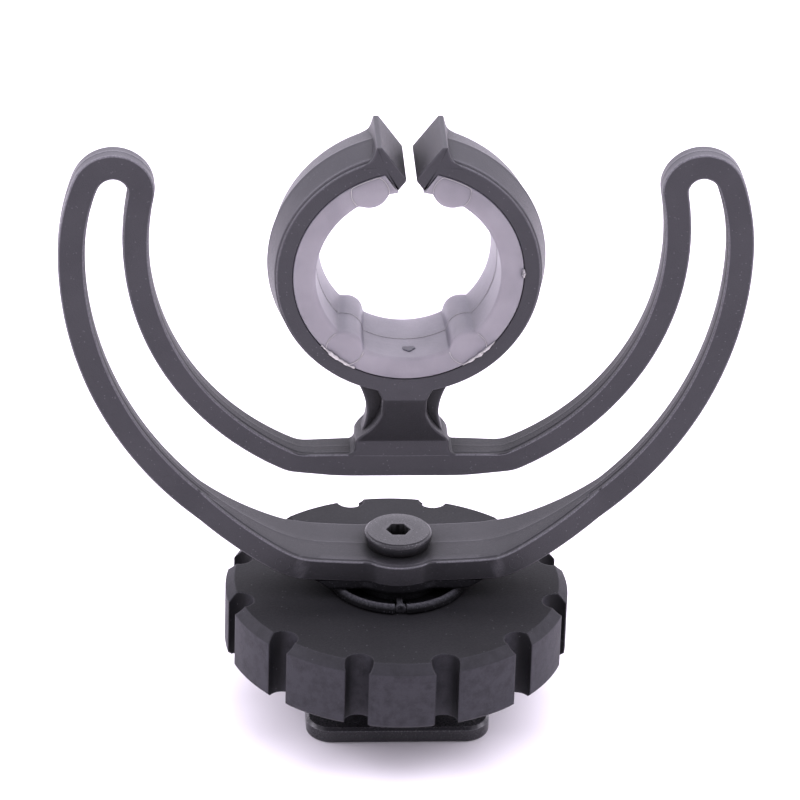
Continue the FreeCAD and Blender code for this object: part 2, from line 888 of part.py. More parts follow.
def inner_hoops(lyre):
    """The inner bar and both inner hoops up to the tips, a little deeper at the middle."""
    radius = lyre.inner_radius
    inside = radius - size("inner_band")
    inside_centre = (0, lyre.inner_centre[1] - size("inner_band_offset"))
    bar_top = lyre.inner_base + size("inner_bar_thickness")
    chord_level = lyre.inner_base + size("bar_sag")
    outside_join = lyre.on_circle(lyre.inner_centre, radius, chord_level)
    outside_top = lyre.on_circle(lyre.inner_centre, radius, lyre.tip_height)
    inside_top = lyre.on_circle(inside_centre, inside, lyre.tip_height)
    inside_join_level = bar_top - size("inner_band_offset") / 2
    inside_join = lyre.on_circle(inside_centre, inside, inside_join_level)
    start = (0, lyre.inner_base)
    widest = (radius, lyre.inner_centre[1])
    right = [
        (size("inner_flat_half"), lyre.inner_base),
        outside_join,
        (middle(lyre.inner_centre, outside_join, widest), widest),
        (middle(lyre.inner_centre, widest, outside_top), outside_top),
        inside_top,
        (middle(inside_centre, inside_top, inside_join), inside_join),
        (size("block_half_width"), bar_top),
        (0, bar_top),
    ]
    slab = front_slab("InnerHoopBand", start, both_sides(start, right), cell("block_depth"))
    half_block = size("block_depth") / 2
    half_hoop = size("hoop_depth") / 2
    quarter = [(size("block_half_width"), half_block), (radius, half_hoop)]
    corners = four_corners(quarter)
    plan = plan_slab("InnerHoopPlan", corners[-1], corners, lyre.tip_height + radius)
    return common("InnerHoops", slab, plan)


def tips(lyre):
    """The two tips, where each outer hoop turns round a short radius into the inner hoop."""
    made = []
    for side, name in ((1, "Right"), (-1, "Left")):
        turn = make("Part::Cylinder", f"{name}TipDisc", Radius=cell("tip_radius"))
        slot = make("Part::Cylinder", f"{name}TipSlot", Radius=cell("slot_radius"))
        for disc in (turn, slot):
            disc.setExpression("Height", cell("hoop_depth"))
            disc.setExpression("Placement.Base.y", f"{cell('hoop_depth')} / 2")
            disc.Angle = 180
            disc.Placement.Rotation = FRONT_PLANE
            disc.Placement.Base.x = side * lyre.tip_centre[0]
            disc.Placement.Base.z = lyre.tip_centre[1]
        made.append(cut(f"{name}Tip", turn, slot))
    return made


def centre_stem(lyre):
    """The block on the inner bar and the waisted stem that carries the ring."""
    half = size("block_half_width")
    foot = lyre.block_top
    root = (size("ring_inner_radius") + lyre.ring_outer) / 2
    start = (0, lyre.inner_base)
    end = (0, lyre.ring_height - root)
    waist = (size("stem_waist_half"), foot + size("stem_waist_rise"))
    bend = (size("stem_bend_half"), foot + size("stem_bend_rise"))
    shoulder = (size("stem_shoulder_half"), lyre.under_ring(root, size("stem_shoulder_half")))
    fillet = (size("stem_fillet_half"), foot + size("stem_fillet_rise"))
    core = [
        (half, lyre.inner_base),
        (half, foot),
        (half - size("block_bevel"), foot + size("block_bevel_rise")),
        (bend, waist),
        (size("stem_waist_half"), foot + size("stem_waist_top")),
        (fillet, shoulder),
        end,
    ]
    core_slab = front_slab("StemCore", start, both_sides(start, core), cell("ring_depth"))
    web_foot = (size("web_foot_half"), foot + size("web_foot_rise"))
    web_waist = (size("web_waist_half"), foot + size("web_waist_rise"))
    web_bend = (size("web_bend_half"), foot + size("web_bend_rise"))
    web_top = (size("web_top_half"), lyre.under_ring(lyre.ring_outer, size("web_top_half")))
    web = [
        (half, lyre.inner_base),
        (half, foot - size("web_foot_drop")),
        (web_foot, web_waist),
        (web_bend, web_top),
        end,
    ]
    web_slab = front_slab("StemWeb", start, both_sides(start, web), cell("web_depth"))
    half_block = size("block_depth") / 2
    half_ring = size("ring_depth") / 2
    side = [
        (half_block, lyre.inner_base),
        (half_block, foot),
        (half_ring, foot + size("stem_slope_rise")),
        (half_ring, lyre.ring_height),
    ]
    side_start = flipped(side[0])
    side_steps = side + [flipped(point) for point in reversed(side)]
    side_slab = front_slab("StemSide", side_start, side_steps, f"4 * {cell('block_half_width')}")
    side_slab.Placement.Rotation = FreeCAD.Rotation(UP, 90)
    return [common("StemCoreTapered", core_slab, side_slab), web_slab]


def split_ring(lyre):
    """The ring, highest at a ridge round its middle, cut open at the top between two lips."""
    inner = size("ring_inner_radius")
    outer = lyre.ring_outer
    ridge = outer + size("ring_ridge")
    step = size("ring_step")
    half = size("ring_depth") / 2
    rim = half - size("ring_rim")
    step_foot = rim - size("ring_step_width")
    profile = [
        (inner, -half),
        (outer, -half),
        (outer, -rim),
        (outer + step, -step_foot),
        (ridge, 0),
        (outer + step, step_foot),
        (outer, rim),
        (outer, half),
        (inner, half),
    ]
    sketch = DOCUMENT.addObject("Sketcher::SketchObject", "RingProfile")
    draw(sketch, profile[-1], profile)
    ring = DOCUMENT.addObject("Part::Revolution", "RingTurned")
    ring.Source = sketch
    ring.Axis = FreeCAD.Vector(0, 1, 0)
    ring.Angle = 360
    ring.Solid = True
    ring.Placement.Base.z = lyre.ring_height
    gap = size("mouth_half_gap")
    spread = size("lip_spread") - size("lip_tip_thickness")
    neck = lyre.ring_height + inner - size("neck_drop")
    lip_top = lyre.ring_height + outer + size("lip_height")
    nose_low = lyre.ring_height + inner - size("nose_depth")
    start = (0, lyre.ring_height)
    mouth = [(gap, lyre.ring_height), (gap, neck - gap), (spread, lip_top), (0, lip_top)]
    slot = front_slab("RingMouth", start, both_sides(start, mouth), f"2 * {cell('ring_depth')}")
    opened = cut("RingOpened", ring, slot)
    lips = []
    for side, name in ((1, "Right"), (-1, "Left")):
        outline = [
            (size("lip_spread"), lip_top),
            (spread, lip_top),
            (gap, neck - gap),
            (gap, neck - 1.5 * gap),
            (size("nose_tip_half"), nose_low),
            (size("nose_root_half"), nose_low + size("nose_depth")),
            (size("lip_root_half"), lyre.ring_height + outer - size("lip_root_drop")),
            (size("lip_base_half"), lyre.ring_height + outer - size("lip_base_drop")),
        ]
        points = [(side * x, level) for x, level in outline]
        lips.append(front_slab(f"{name}Lip", points[-1], points, cell("ring_depth")))
    return [opened] + lips


def lyre_moulding():
    """The lyre in one piece, with the captive screw's hole through its bar."""
    lyre = LyreShape()
    parts = [outer_hoops(lyre), inner_hoops(lyre)]
    parts += tips(lyre) + centre_stem(lyre) + split_ring(lyre)
    solid = fuse("LyreSolid", *parts)
    hole = cylinder(
        "LyreScrewHole",
        total("screw_radius", "screw_clearance"),
        cell("bar_thickness"),
        total(*BAR_BASE),
    )
    finish(cut("Lyre", solid, hole), "lyre")
    return lyre


def ring_liner(lyre):
    """The soft liner inside the ring, with four round ribs that grip the microphone."""
    outer = size("ring_inner_radius") - size("seat_clearance")
    inner = outer - size("liner_thickness")
    half = size("ring_depth") / 2
    barrel = liner_cylinder("LinerBarrel", outer, half, (0, lyre.ring_height))
    bore = liner_cylinder("LinerBore", inner, half, (0, lyre.ring_height))
    rib_reach = inner - size("liner_rib_height") + size("liner_rib_radius")
    ribs = []
    for number, turn in enumerate(rib_angles(), start=1):
        across = rib_reach * math.sin(turn)
        up = lyre.ring_height + rib_reach * math.cos(turn)
        ribs.append(liner_cylinder(f"LinerRib{number}", size("liner_rib_radius"), half, (across, up)))
    sleeve = cut("LinerSleeve", barrel, bore)
    ribbed = fuse("LinerRibbed", sleeve, *ribs)
    limit = liner_cylinder("LinerLimit", outer, half, (0, lyre.ring_height))
    held = common("LinerHeld", ribbed, limit)
    clearance = size("seat_clearance")
    nose_low = lyre.ring_height + size("ring_inner_radius") - size("nose_depth") - clearance
    beyond = lyre.ring_height + outer + half
    start = (0, lyre.ring_height)
    mouth = [
        (size("mouth_half_gap"), lyre.ring_height),
        (size("nose_tip_half") + clearance, nose_low),
        (size("nose_root_half") + clearance, nose_low + size("nose_depth")),
        (size("lip_root_half"), beyond),
        (0, beyond),
    ]
    slot = front_slab("LinerMouth", start, both_sides(start, mouth), f"2 * {cell('ring_depth')}")
    finish(cut("RingLiner", held, slot), "ring_liner")


def rib_angles():
    """Each rib's turn from straight up, in radians."""
    upper = math.radians(size("liner_rib_upper_angle"))
    lower = math.pi - math.radians(size("liner_rib_lower_angle"))
    return [upper, -upper, lower, -lower]


def liner_cylinder(name, radius, half, place):
    """A cylinder along Y, as deep as the ring."""
    item = make("Part::Cylinder", name, Height=cell("ring_depth"))
    item.Radius = radius
    item.Placement.Rotation = FRONT_PLANE
    item.Placement.Base = FreeCAD.Vector(place[0], half, place[1])
    return item


def check_model():
    """Stop if any object failed, or any sub-part has no valid solid."""
    for item in DOCUMENT.Objects:
        if "Invalid" in item.State or "Error" in item.State:
            raise RuntimeError(item.Name + " failed: " + str(item.State))
    for item in NODES:
        shape = item.Shape
        if shape.isNull() or not shape.isValid() or not shape.Solids:
            raise RuntimeError(item.Label + " has no valid solid")


def write_steps():
    """One STEP file for each sub-part, named after its node."""
    os.makedirs("parts", exist_ok=True)
    for item in NODES:
        item.Shape.exportStep(f"parts/{item.Label}.step")
        box = item.Shape.BoundBox
        print(
            f"{item.Label:16s} solids {len(item.Shape.Solids)}  volume {item.Shape.Volume:9.2f}"
            f"  x {box.XMin:7.2f} {box.XMax:7.2f}  y {box.YMin:7.2f} {box.YMax:7.2f}"
            f"  z {box.ZMin:7.2f} {box.ZMax:7.2f}"
        )


fill_sheet()
shoe_foot()
stem()
tripod_bush()
pressure_plate()
wheel_bush()
thumb_wheel()
turret_ring()
saddle()
captive_screw()
ring_liner(lyre_moulding())
DOCUMENT.recompute()
check_model()
write_steps()
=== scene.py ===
"""Looks for a microphone shock mount on an accessory-shoe foot.

A satin lyre of double hoops holds a split ring with a milky soft liner, above a rubbery thumb wheel and
a glossy shoe foot. Lengths in the shapes are millimetres and become metres when a piece is made.
"""

import bpy
import numpy as np
from mathutils import Matrix, Vector


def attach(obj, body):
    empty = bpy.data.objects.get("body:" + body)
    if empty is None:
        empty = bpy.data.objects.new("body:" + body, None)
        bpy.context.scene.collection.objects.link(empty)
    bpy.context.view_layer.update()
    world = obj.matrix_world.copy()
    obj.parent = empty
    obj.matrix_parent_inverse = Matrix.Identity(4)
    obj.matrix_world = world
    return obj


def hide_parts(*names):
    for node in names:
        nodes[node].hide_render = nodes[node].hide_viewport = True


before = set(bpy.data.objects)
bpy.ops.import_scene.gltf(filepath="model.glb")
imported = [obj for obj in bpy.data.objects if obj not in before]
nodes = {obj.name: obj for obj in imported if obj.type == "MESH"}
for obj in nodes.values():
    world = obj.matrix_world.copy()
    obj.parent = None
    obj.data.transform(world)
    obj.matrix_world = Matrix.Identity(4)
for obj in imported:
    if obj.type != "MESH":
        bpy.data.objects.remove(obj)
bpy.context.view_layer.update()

MM = 0.001
EDGE_SINE = 0.13

# Sizes of the lyre, as in its solid
BAR_BASE = 15.45
BAR_THICKNESS = 2.28
BAR_HALF_LENGTH = 11.45
BAR_SAG = 0.42
BAR_DEPTH = 7.6
BOSS_RADIUS = 4.9
BOSS_BLEND = 2.0
BEND_EASE = 1.7
HOOP_REACH = 34.05
HOOP_BAND = 2.62
HOOP_DEPTH = 2.2
HOOP_GAP = 3.68
FLARE_START = 9.9
FLARE_END = 20.1
UPPER_RADIUS = 24.0
TIP_RADIUS = 4.17
SLOT_RADIUS = 1.55
WIDEST_BELOW_TIP = 6.9
TIP_ABOVE_CENTRE = 5.25
INNER_BAND = 2.55
INNER_BAND_DROP = 0.3
BAR_GAP = 8.74
INNER_SAG = 1.97
INNER_BAR_THICKNESS = 2.55
INNER_FLAT_HALF = 6.5
BLOCK_HALF_WIDTH = 4.65
BLOCK_HEIGHT = 4.0
BLOCK_DEPTH = 3.5
STEM_HEIGHT = 6.46
RING_INNER = 11.285
RING_WALL = 1.6
RING_RIDGE = 0.75
RING_DEPTH = 7.4

INNER_BASE = BAR_BASE + BAR_THICKNESS + BAR_GAP
BLOCK_TOP = INNER_BASE + BLOCK_HEIGHT
RING_OUTER = RING_INNER + RING_WALL
RING_HEIGHT = BLOCK_TOP + STEM_HEIGHT + RING_OUTER
INNER_RADIUS = HOOP_REACH - HOOP_BAND - HOOP_GAP
INNER_CENTRE = np.array([0.0, INNER_BASE - INNER_SAG + INNER_RADIUS])
TIP_HEIGHT = INNER_CENTRE[1] + TIP_ABOVE_CENTRE
WIDEST = TIP_HEIGHT - WIDEST_BELOW_TIP


# Curves in the front view: arrays of (x, height) points

def line(start, end, count):
    """Points evenly spaced on the straight run from start to end."""
    share = np.linspace(0, 1, count)[:, None]
    return np.asarray(start) * (1 - share) + np.asarray(end) * share


def arc(centre, radius, start, end, count):
    """Points at a radius from a centre, at angles evenly spaced from start to end."""
    turn = np.linspace(start, end, count)
    return np.asarray(centre) + radius * np.stack([np.cos(turn), np.sin(turn)], 1)


def arc_between(centre, start, end, count):
    """The shorter way round a centre from one point to another; the radius changes evenly."""
    first = np.asarray(start) - centre
    last = np.asarray(end) - centre
    turn_first = np.arctan2(first[1], first[0])
    swing = np.arctan2(last[1], last[0]) - turn_first
    swing = (swing + np.pi) % (2 * np.pi) - np.pi
    share = np.linspace(0, 1, count)
    radius = np.hypot(*first) * (1 - share) + np.hypot(*last) * share
    turn = turn_first + swing * share
    return np.asarray(centre) + radius[:, None] * np.stack([np.cos(turn), np.sin(turn)], 1)


def arc_through(start, bend, end, count):
    """The arc through three points: the centre is where the chords' bisectors cross."""
    start, bend, end = (np.asarray(point, float) for point in (start, bend, end))
    rows = 2 * np.array([bend - start, end - bend])
    centre = np.linalg.solve(rows, [bend @ bend - start @ start, end @ end - bend @ bend])
    half = count // 2
    first = arc_between(centre, start, bend, half + 1)
    return np.concatenate([first[:-1], arc_between(centre, bend, end, count - half)])


def bend(before, corner, after, count):
    """A parabola that leaves one run and joins the next, pulled towards the corner between them."""
    share = np.linspace(0, 1, count)[:, None]
    points = [np.asarray(point) for point in (before, corner, after)]
    weights = [(1 - share) ** 2, 2 * share * (1 - share), share**2]
    return sum(weight * point for weight, point in zip(weights, points))


def chain(*runs):
    """Runs put end to end, without the points that they share."""
    return np.concatenate([runs[0]] + [run[1:] for run in runs[1:]])


def softened(points, reach, closed=False):
    """Each point moved to the bell-weighted mean of its neighbours, so that corners turn round."""
    steps = np.arange(-int(3 * reach) - 1, int(3 * reach) + 2)
    weights = np.exp(-0.5 * (steps / reach) ** 2)
    weights /= weights.sum()
    places = np.arange(len(points))[:, None] + steps
    if closed:
        return (points[places % len(points)] * weights[:, None]).sum(1)
    ahead = np.clip(places, 0, len(points) - 1)
    soft = (points[ahead] * weights[:, None]).sum(1)
    soft[0], soft[-1] = points[0], points[-1]
    return soft


# Skins: grids of points closed into shells

def outward(points, faces):
    """Faces turned so that the volume they enclose is positive."""
    corner = points[faces]
    volume = np.einsum("ij,ij->i", corner[:, 0], np.cross(corner[:, 1], corner[:, 2])).sum()
    if faces.shape[1] == 4:
        volume += np.einsum("ij,ij->i", corner[:, 0], np.cross(corner[:, 2], corner[:, 3])).sum()
    return faces if volume > 0 else faces[:, ::-1]


def skin(grid, closed_rows=False):
    """A tube over a grid: quads join each point to its neighbours, and each row closes on itself.

    Where the rows don't close too, a fan from the row's middle point closes each end."""
    rows, columns = grid.shape[:2]
    joined = rows if closed_rows else rows - 1
    row, column = np.meshgrid(np.arange(joined), np.arange(columns), indexing="ij")
    row_on, column_on = (row + 1) % rows, (column + 1) % columns
    corners = [row * columns + column, row_on * columns + column,
               row_on * columns + column_on, row * columns + column_on]
    quads = np.stack(corners, -1).reshape(-1, 4)
    points = grid.reshape(-1, 3)
    if closed_rows:
        return points, [outward(points, quads)]
    middles = np.stack([grid[0].mean(0), grid[-1].mean(0)])
    ring = np.arange(columns)
    ring_on = (ring + 1) % columns
    first = np.stack([np.full(columns, rows * columns), ring, ring_on], 1)
    last_row = (rows - 1) * columns
    last = np.stack([np.full(columns, rows * columns + 1), last_row + ring_on, last_row + ring], 1)
    points = np.concatenate([points, middles])
    fans = np.concatenate([first, last])
    turned = outward(points, quads)
    if turned is not quads:
        fans = fans[:, ::-1]
    return points, [turned, fans]


def make_piece(name, skins, material, body, crease=40, wear_and_sheen=None):
    """One object from several skins, put end to end, in metres; edges sharper than crease stay crisp.

    The share given for each skin, or for each of its points, sets how strongly its edges get the painted
    edge highlight."""
    points = np.concatenate([skin_points for skin_points, _ in skins])
    starts = np.cumsum([0] + [len(skin_points) for skin_points, _ in skins])
    faces = [part + start for (_, parts), start in zip(skins, starts) for part in parts]
    corners = np.concatenate([part.ravel() for part in faces])
    counts = np.concatenate([np.full(len(part), part.shape[1]) for part in faces])
    mesh = bpy.data.meshes.new(name)
    mesh.vertices.add(len(points))
    mesh.vertices.foreach_set("co", (points * MM).astype(np.float32).ravel())
    mesh.loops.add(len(corners))
    mesh.loops.foreach_set("vertex_index", corners.astype(np.int32))
    mesh.polygons.add(len(counts))
    mesh.polygons.foreach_set("loop_start", (np.cumsum(counts) - counts).astype(np.int32))
    mesh.update(calc_edges=True)
    mesh.polygons.foreach_set("use_smooth", np.ones(len(counts), bool))
    mesh.set_sharp_from_angle(angle=np.radians(crease))
    mesh.validate()
    shares = [1.0] * len(skins) if wear_and_sheen is None else wear_and_sheen
    mark_edges(mesh, np.concatenate([np.broadcast_to(share, len(skin_points))
                                     for share, (skin_points, _) in zip(shares, skins)]))
    mesh.materials.append(material)
    piece = bpy.data.objects.new(name, mesh)
    bpy.context.scene.collection.objects.link(piece)
    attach(piece, body)
    return piece


def mark_edges(mesh, shares):
    """How sharply the surface turns away round each vertex, kept as the attribute "edge": the mean sine
    between its normal and its faces' normals, where the faces fall away from it, full from 7.5 degrees
    and times the share given for the vertex."""
    count = len(mesh.vertices)
    corners = np.empty(len(mesh.loops), np.int32)
    mesh.loops.foreach_get("vertex_index", corners)
    totals = np.empty(len(mesh.polygons), np.int32)
    mesh.polygons.foreach_get("loop_total", totals)
    owner = np.repeat(np.arange(len(totals)), totals)
    places, normals = np.empty(count * 3), np.empty(count * 3)
    mesh.vertices.foreach_get("co", places)
    mesh.vertex_normals.foreach_get("vector", normals)
    places, normals = places.reshape(-1, 3), normals.reshape(-1, 3)
    middles, facings = np.empty(len(totals) * 3), np.empty(len(totals) * 3)
    mesh.polygons.foreach_get("center", middles)
    mesh.polygons.foreach_get("normal", facings)
    way = middles.reshape(-1, 3)[owner] - places[corners]
    turned = (facings.reshape(-1, 3)[owner] * normals[corners]).sum(1)
    sine = np.sqrt(np.clip(1 - turned**2, 0, 1)) * np.sign(-(way * normals[corners]).sum(1))
    total = np.bincount(corners, sine, count) / np.maximum(np.bincount(corners, minlength=count), 1)
    layer = mesh.attributes.new("edge", "FLOAT", "POINT")
    layer.data.foreach_set("value", (np.clip(total / EDGE_SINE, 0, 1) * shares).astype(np.float32))


def in_space(flat, depth):
    """Front-view points set at a depth each: x and height stay, and depth becomes y."""
    return np.stack([flat[..., 0], np.broadcast_to(depth, flat.shape[:-1]), flat[..., 1]], -1)


# Materials

def add(tree, kind, **values):
    """A shader node with its settings; a value given for an input's name goes into its socket."""
    node = tree.nodes.new(kind)
    for name, value in values.items():
        title = name.replace("_", " ")
        if title in node.inputs:
            node.inputs[title].default_value = value
        else:
            setattr(node, name, value)
    return node


def wire(tree, *pairs):
    """Links, each from an output socket to an input socket."""
    for start, end in pairs:
        tree.links.new(start, end)


def new_group(name, inputs, outputs):
    """A shader node group with named numbers, colours and vectors going in and out."""
    group = bpy.data.node_groups.new(name, "ShaderNodeTree")
    kinds = {"number": "NodeSocketFloat", "colour": "NodeSocketColor", "vector": "NodeSocketVector"}
    for title, kind, start in inputs:
        socket = group.interface.new_socket(title, in_out="INPUT", socket_type=kinds[kind])
        socket.default_value = start
    for title, kind in outputs:
        group.interface.new_socket(title, in_out="OUTPUT", socket_type=kinds[kind])
    return group, group.nodes.new("NodeGroupInput"), group.nodes.new("NodeGroupOutput")


def moulded_grain():
    """Eroded-mould texture: fine noise for height, rare grains that carry painted glints, and slow clouds
    of tone.
    """
    group, entry, result = new_group(
        "moulded_grain",
        [("Place", "vector", (0, 0, 0)), ("Grain Size", "number", 0.2), ("Speck Share", "number", 0.04),
         ("Cloud Size", "number", 6.0)],
        [("Height", "number"), ("Specks", "number"), ("Clouds", "number")],
    )
    millimetres = add(group, "ShaderNodeVectorMath", operation="SCALE", Scale=1000)
    fine, coarse = (add(group, "ShaderNodeMath", operation="DIVIDE") for _ in range(2))
    fine.inputs[0].default_value = coarse.inputs[0].default_value = 1
    noise = add(group, "ShaderNodeTexNoise", Detail=3, Roughness=0.6)
    cells = add(group, "ShaderNodeTexVoronoi", feature="F1")
    pick = add(group, "ShaderNodeSeparateColor")
    rare = add(group, "ShaderNodeMath", operation="LESS_THAN")
    near = add(group, "ShaderNodeMath", operation="LESS_THAN")
    near.inputs[1].default_value = 0.42
    both = add(group, "ShaderNodeMath", operation="MULTIPLY")
    cloud = add(group, "ShaderNodeTexNoise", Detail=2, Roughness=0.5)
    wire(
        group,
        (entry.outputs["Place"], millimetres.inputs[0]),
        (entry.outputs["Grain Size"], fine.inputs[1]),
        (entry.outputs["Cloud Size"], coarse.inputs[1]),
        (millimetres.outputs[0], noise.inputs["Vector"]),
        (fine.outputs[0], noise.inputs["Scale"]),
        (millimetres.outputs[0], cells.inputs["Vector"]),
        (fine.outputs[0], cells.inputs["Scale"]),
        (cells.outputs["Color"], pick.inputs[0]),
        (pick.outputs[0], rare.inputs[0]),
        (entry.outputs["Speck Share"], rare.inputs[1]),
        (cells.outputs["Distance"], near.inputs[0]),
        (rare.outputs[0], both.inputs[0]),
        (near.outputs[0], both.inputs[1]),
        (millimetres.outputs[0], cloud.inputs["Vector"]),
        (coarse.outputs[0], cloud.inputs["Scale"]),
        (noise.outputs[0], result.inputs["Height"]),
        (both.outputs[0], result.inputs["Specks"]),
        (cloud.outputs[0], result.inputs["Clouds"]),
    )
    return group


GRAIN = moulded_grain()


def rim_scuffs_and_side_light():
    """Where a turned part is painted paler, partly by real scuffs and partly by painted light on its
    sides: on faces that look straight out from the Z axis, through fine scuffs; the mask is the normal's
    share along the way out from the axis."""
    group, entry, result = new_group("rim_scuffs_and_side_light", [("Place", "vector", (0, 0, 0))], [("Mask", "number")])
    apart = add(group, "ShaderNodeSeparateXYZ")
    flat = add(group, "ShaderNodeCombineXYZ")
    outward_way = add(group, "ShaderNodeVectorMath", operation="NORMALIZE")
    surface = add(group, "ShaderNodeNewGeometry")
    facing = add(group, "ShaderNodeVectorMath", operation="DOT_PRODUCT")
    scuff = add(group, "ShaderNodeTexNoise", Scale=700, Detail=4, Roughness=0.7)
    wear_and_sheen_mask = add(group, "ShaderNodeMath", operation="MULTIPLY")
    wire(
        group,
        (entry.outputs["Place"], apart.inputs[0]),
        (apart.outputs[0], flat.inputs[0]),
        (apart.outputs[1], flat.inputs[1]),
        (flat.outputs[0], outward_way.inputs[0]),
        (outward_way.outputs[0], facing.inputs[0]),
        (surface.outputs["Normal"], facing.inputs[1]),
        (entry.outputs["Place"], scuff.inputs["Vector"]),
        (scaled(group, facing.outputs["Value"], 0.5, 0.95, 0, 1), wear_and_sheen_mask.inputs[0]),
        (scaled(group, scuff.outputs[0], 0.35, 0.62, 0.5, 1.1), wear_and_sheen_mask.inputs[1]),
        (wear_and_sheen_mask.outputs[0], result.inputs["Mask"]),
    )
    return group


def crest_highlight():
    """A painted highlight along an upright part's top: above a height, broken up by fine grains."""
    group, entry, result = new_group(
        "crest_highlight", [("Place", "vector", (0, 0, 0)), ("Level", "number", 0.01), ("Fade", "number", 0.1)],
        [("Mask", "number")],
    )
    apart = add(group, "ShaderNodeSeparateXYZ")
    above = add(group, "ShaderNodeMath", operation="SUBTRACT")
    steep = add(group, "ShaderNodeMath", operation="DIVIDE")
    grains = add(group, "ShaderNodeTexNoise", Scale=4500, Detail=2, Roughness=0.6)
    wear_and_sheen_mask = add(group, "ShaderNodeMath", operation="MULTIPLY")
    wire(
        group,
        (entry.outputs["Place"], apart.inputs[0]),
        (apart.outputs[2], above.inputs[0]),
        (entry.outputs["Level"], above.inputs[1]),
        (above.outputs[0], steep.inputs[0]),
        (entry.outputs["Fade"], steep.inputs[1]),
        (entry.outputs["Place"], grains.inputs["Vector"]),
        (scaled(group, steep.outputs[0], 0, 1, 0, 1), wear_and_sheen_mask.inputs[0]),
        (scaled(group, grains.outputs[0], 0.4, 0.62, 0.55, 1), wear_and_sheen_mask.inputs[1]),
        (wear_and_sheen_mask.outputs[0], result.inputs["Mask"]),
    )
    return group


def underside_shade():
    """Painted shade where a moulding looks down: the mask grows as the normal sinks."""
    group, _, result = new_group("underside_shade", [], [("Mask", "number")])
    surface = add(group, "ShaderNodeNewGeometry")
    apart = add(group, "ShaderNodeSeparateXYZ")
    wire(
        group,
        (surface.outputs["Normal"], apart.inputs[0]),
        (scaled(group, apart.outputs[2], -0.28, -0.1, 1, 0), result.inputs["Mask"]),
    )
    return group


def mix_colour(tree, share, first, second):
    """A colour between two, by a share that is a socket; the colours are sockets or plain values."""
    mix = add(tree, "ShaderNodeMix", data_type="RGBA")
    tree.links.new(share, mix.inputs[0])
    for socket, value in ((mix.inputs[6], first), (mix.inputs[7], second)):
        if isinstance(value, tuple):
            socket.default_value = (*value, 1)
        else:
            tree.links.new(value, socket)
    return mix.outputs[2]


def scaled(tree, socket, low, high, to_low, to_high):
    """A number stretched from one range to another and kept inside it."""
    stretch = add(tree, "ShaderNodeMapRange", From_Min=low, From_Max=high, To_Min=to_low, To_Max=to_high)
    tree.links.new(socket, stretch.inputs[0])
    return stretch.outputs[0]


# Black: the colour that the painted shade mixes towards.
BLACK = (0.0, 0.0, 0.0)


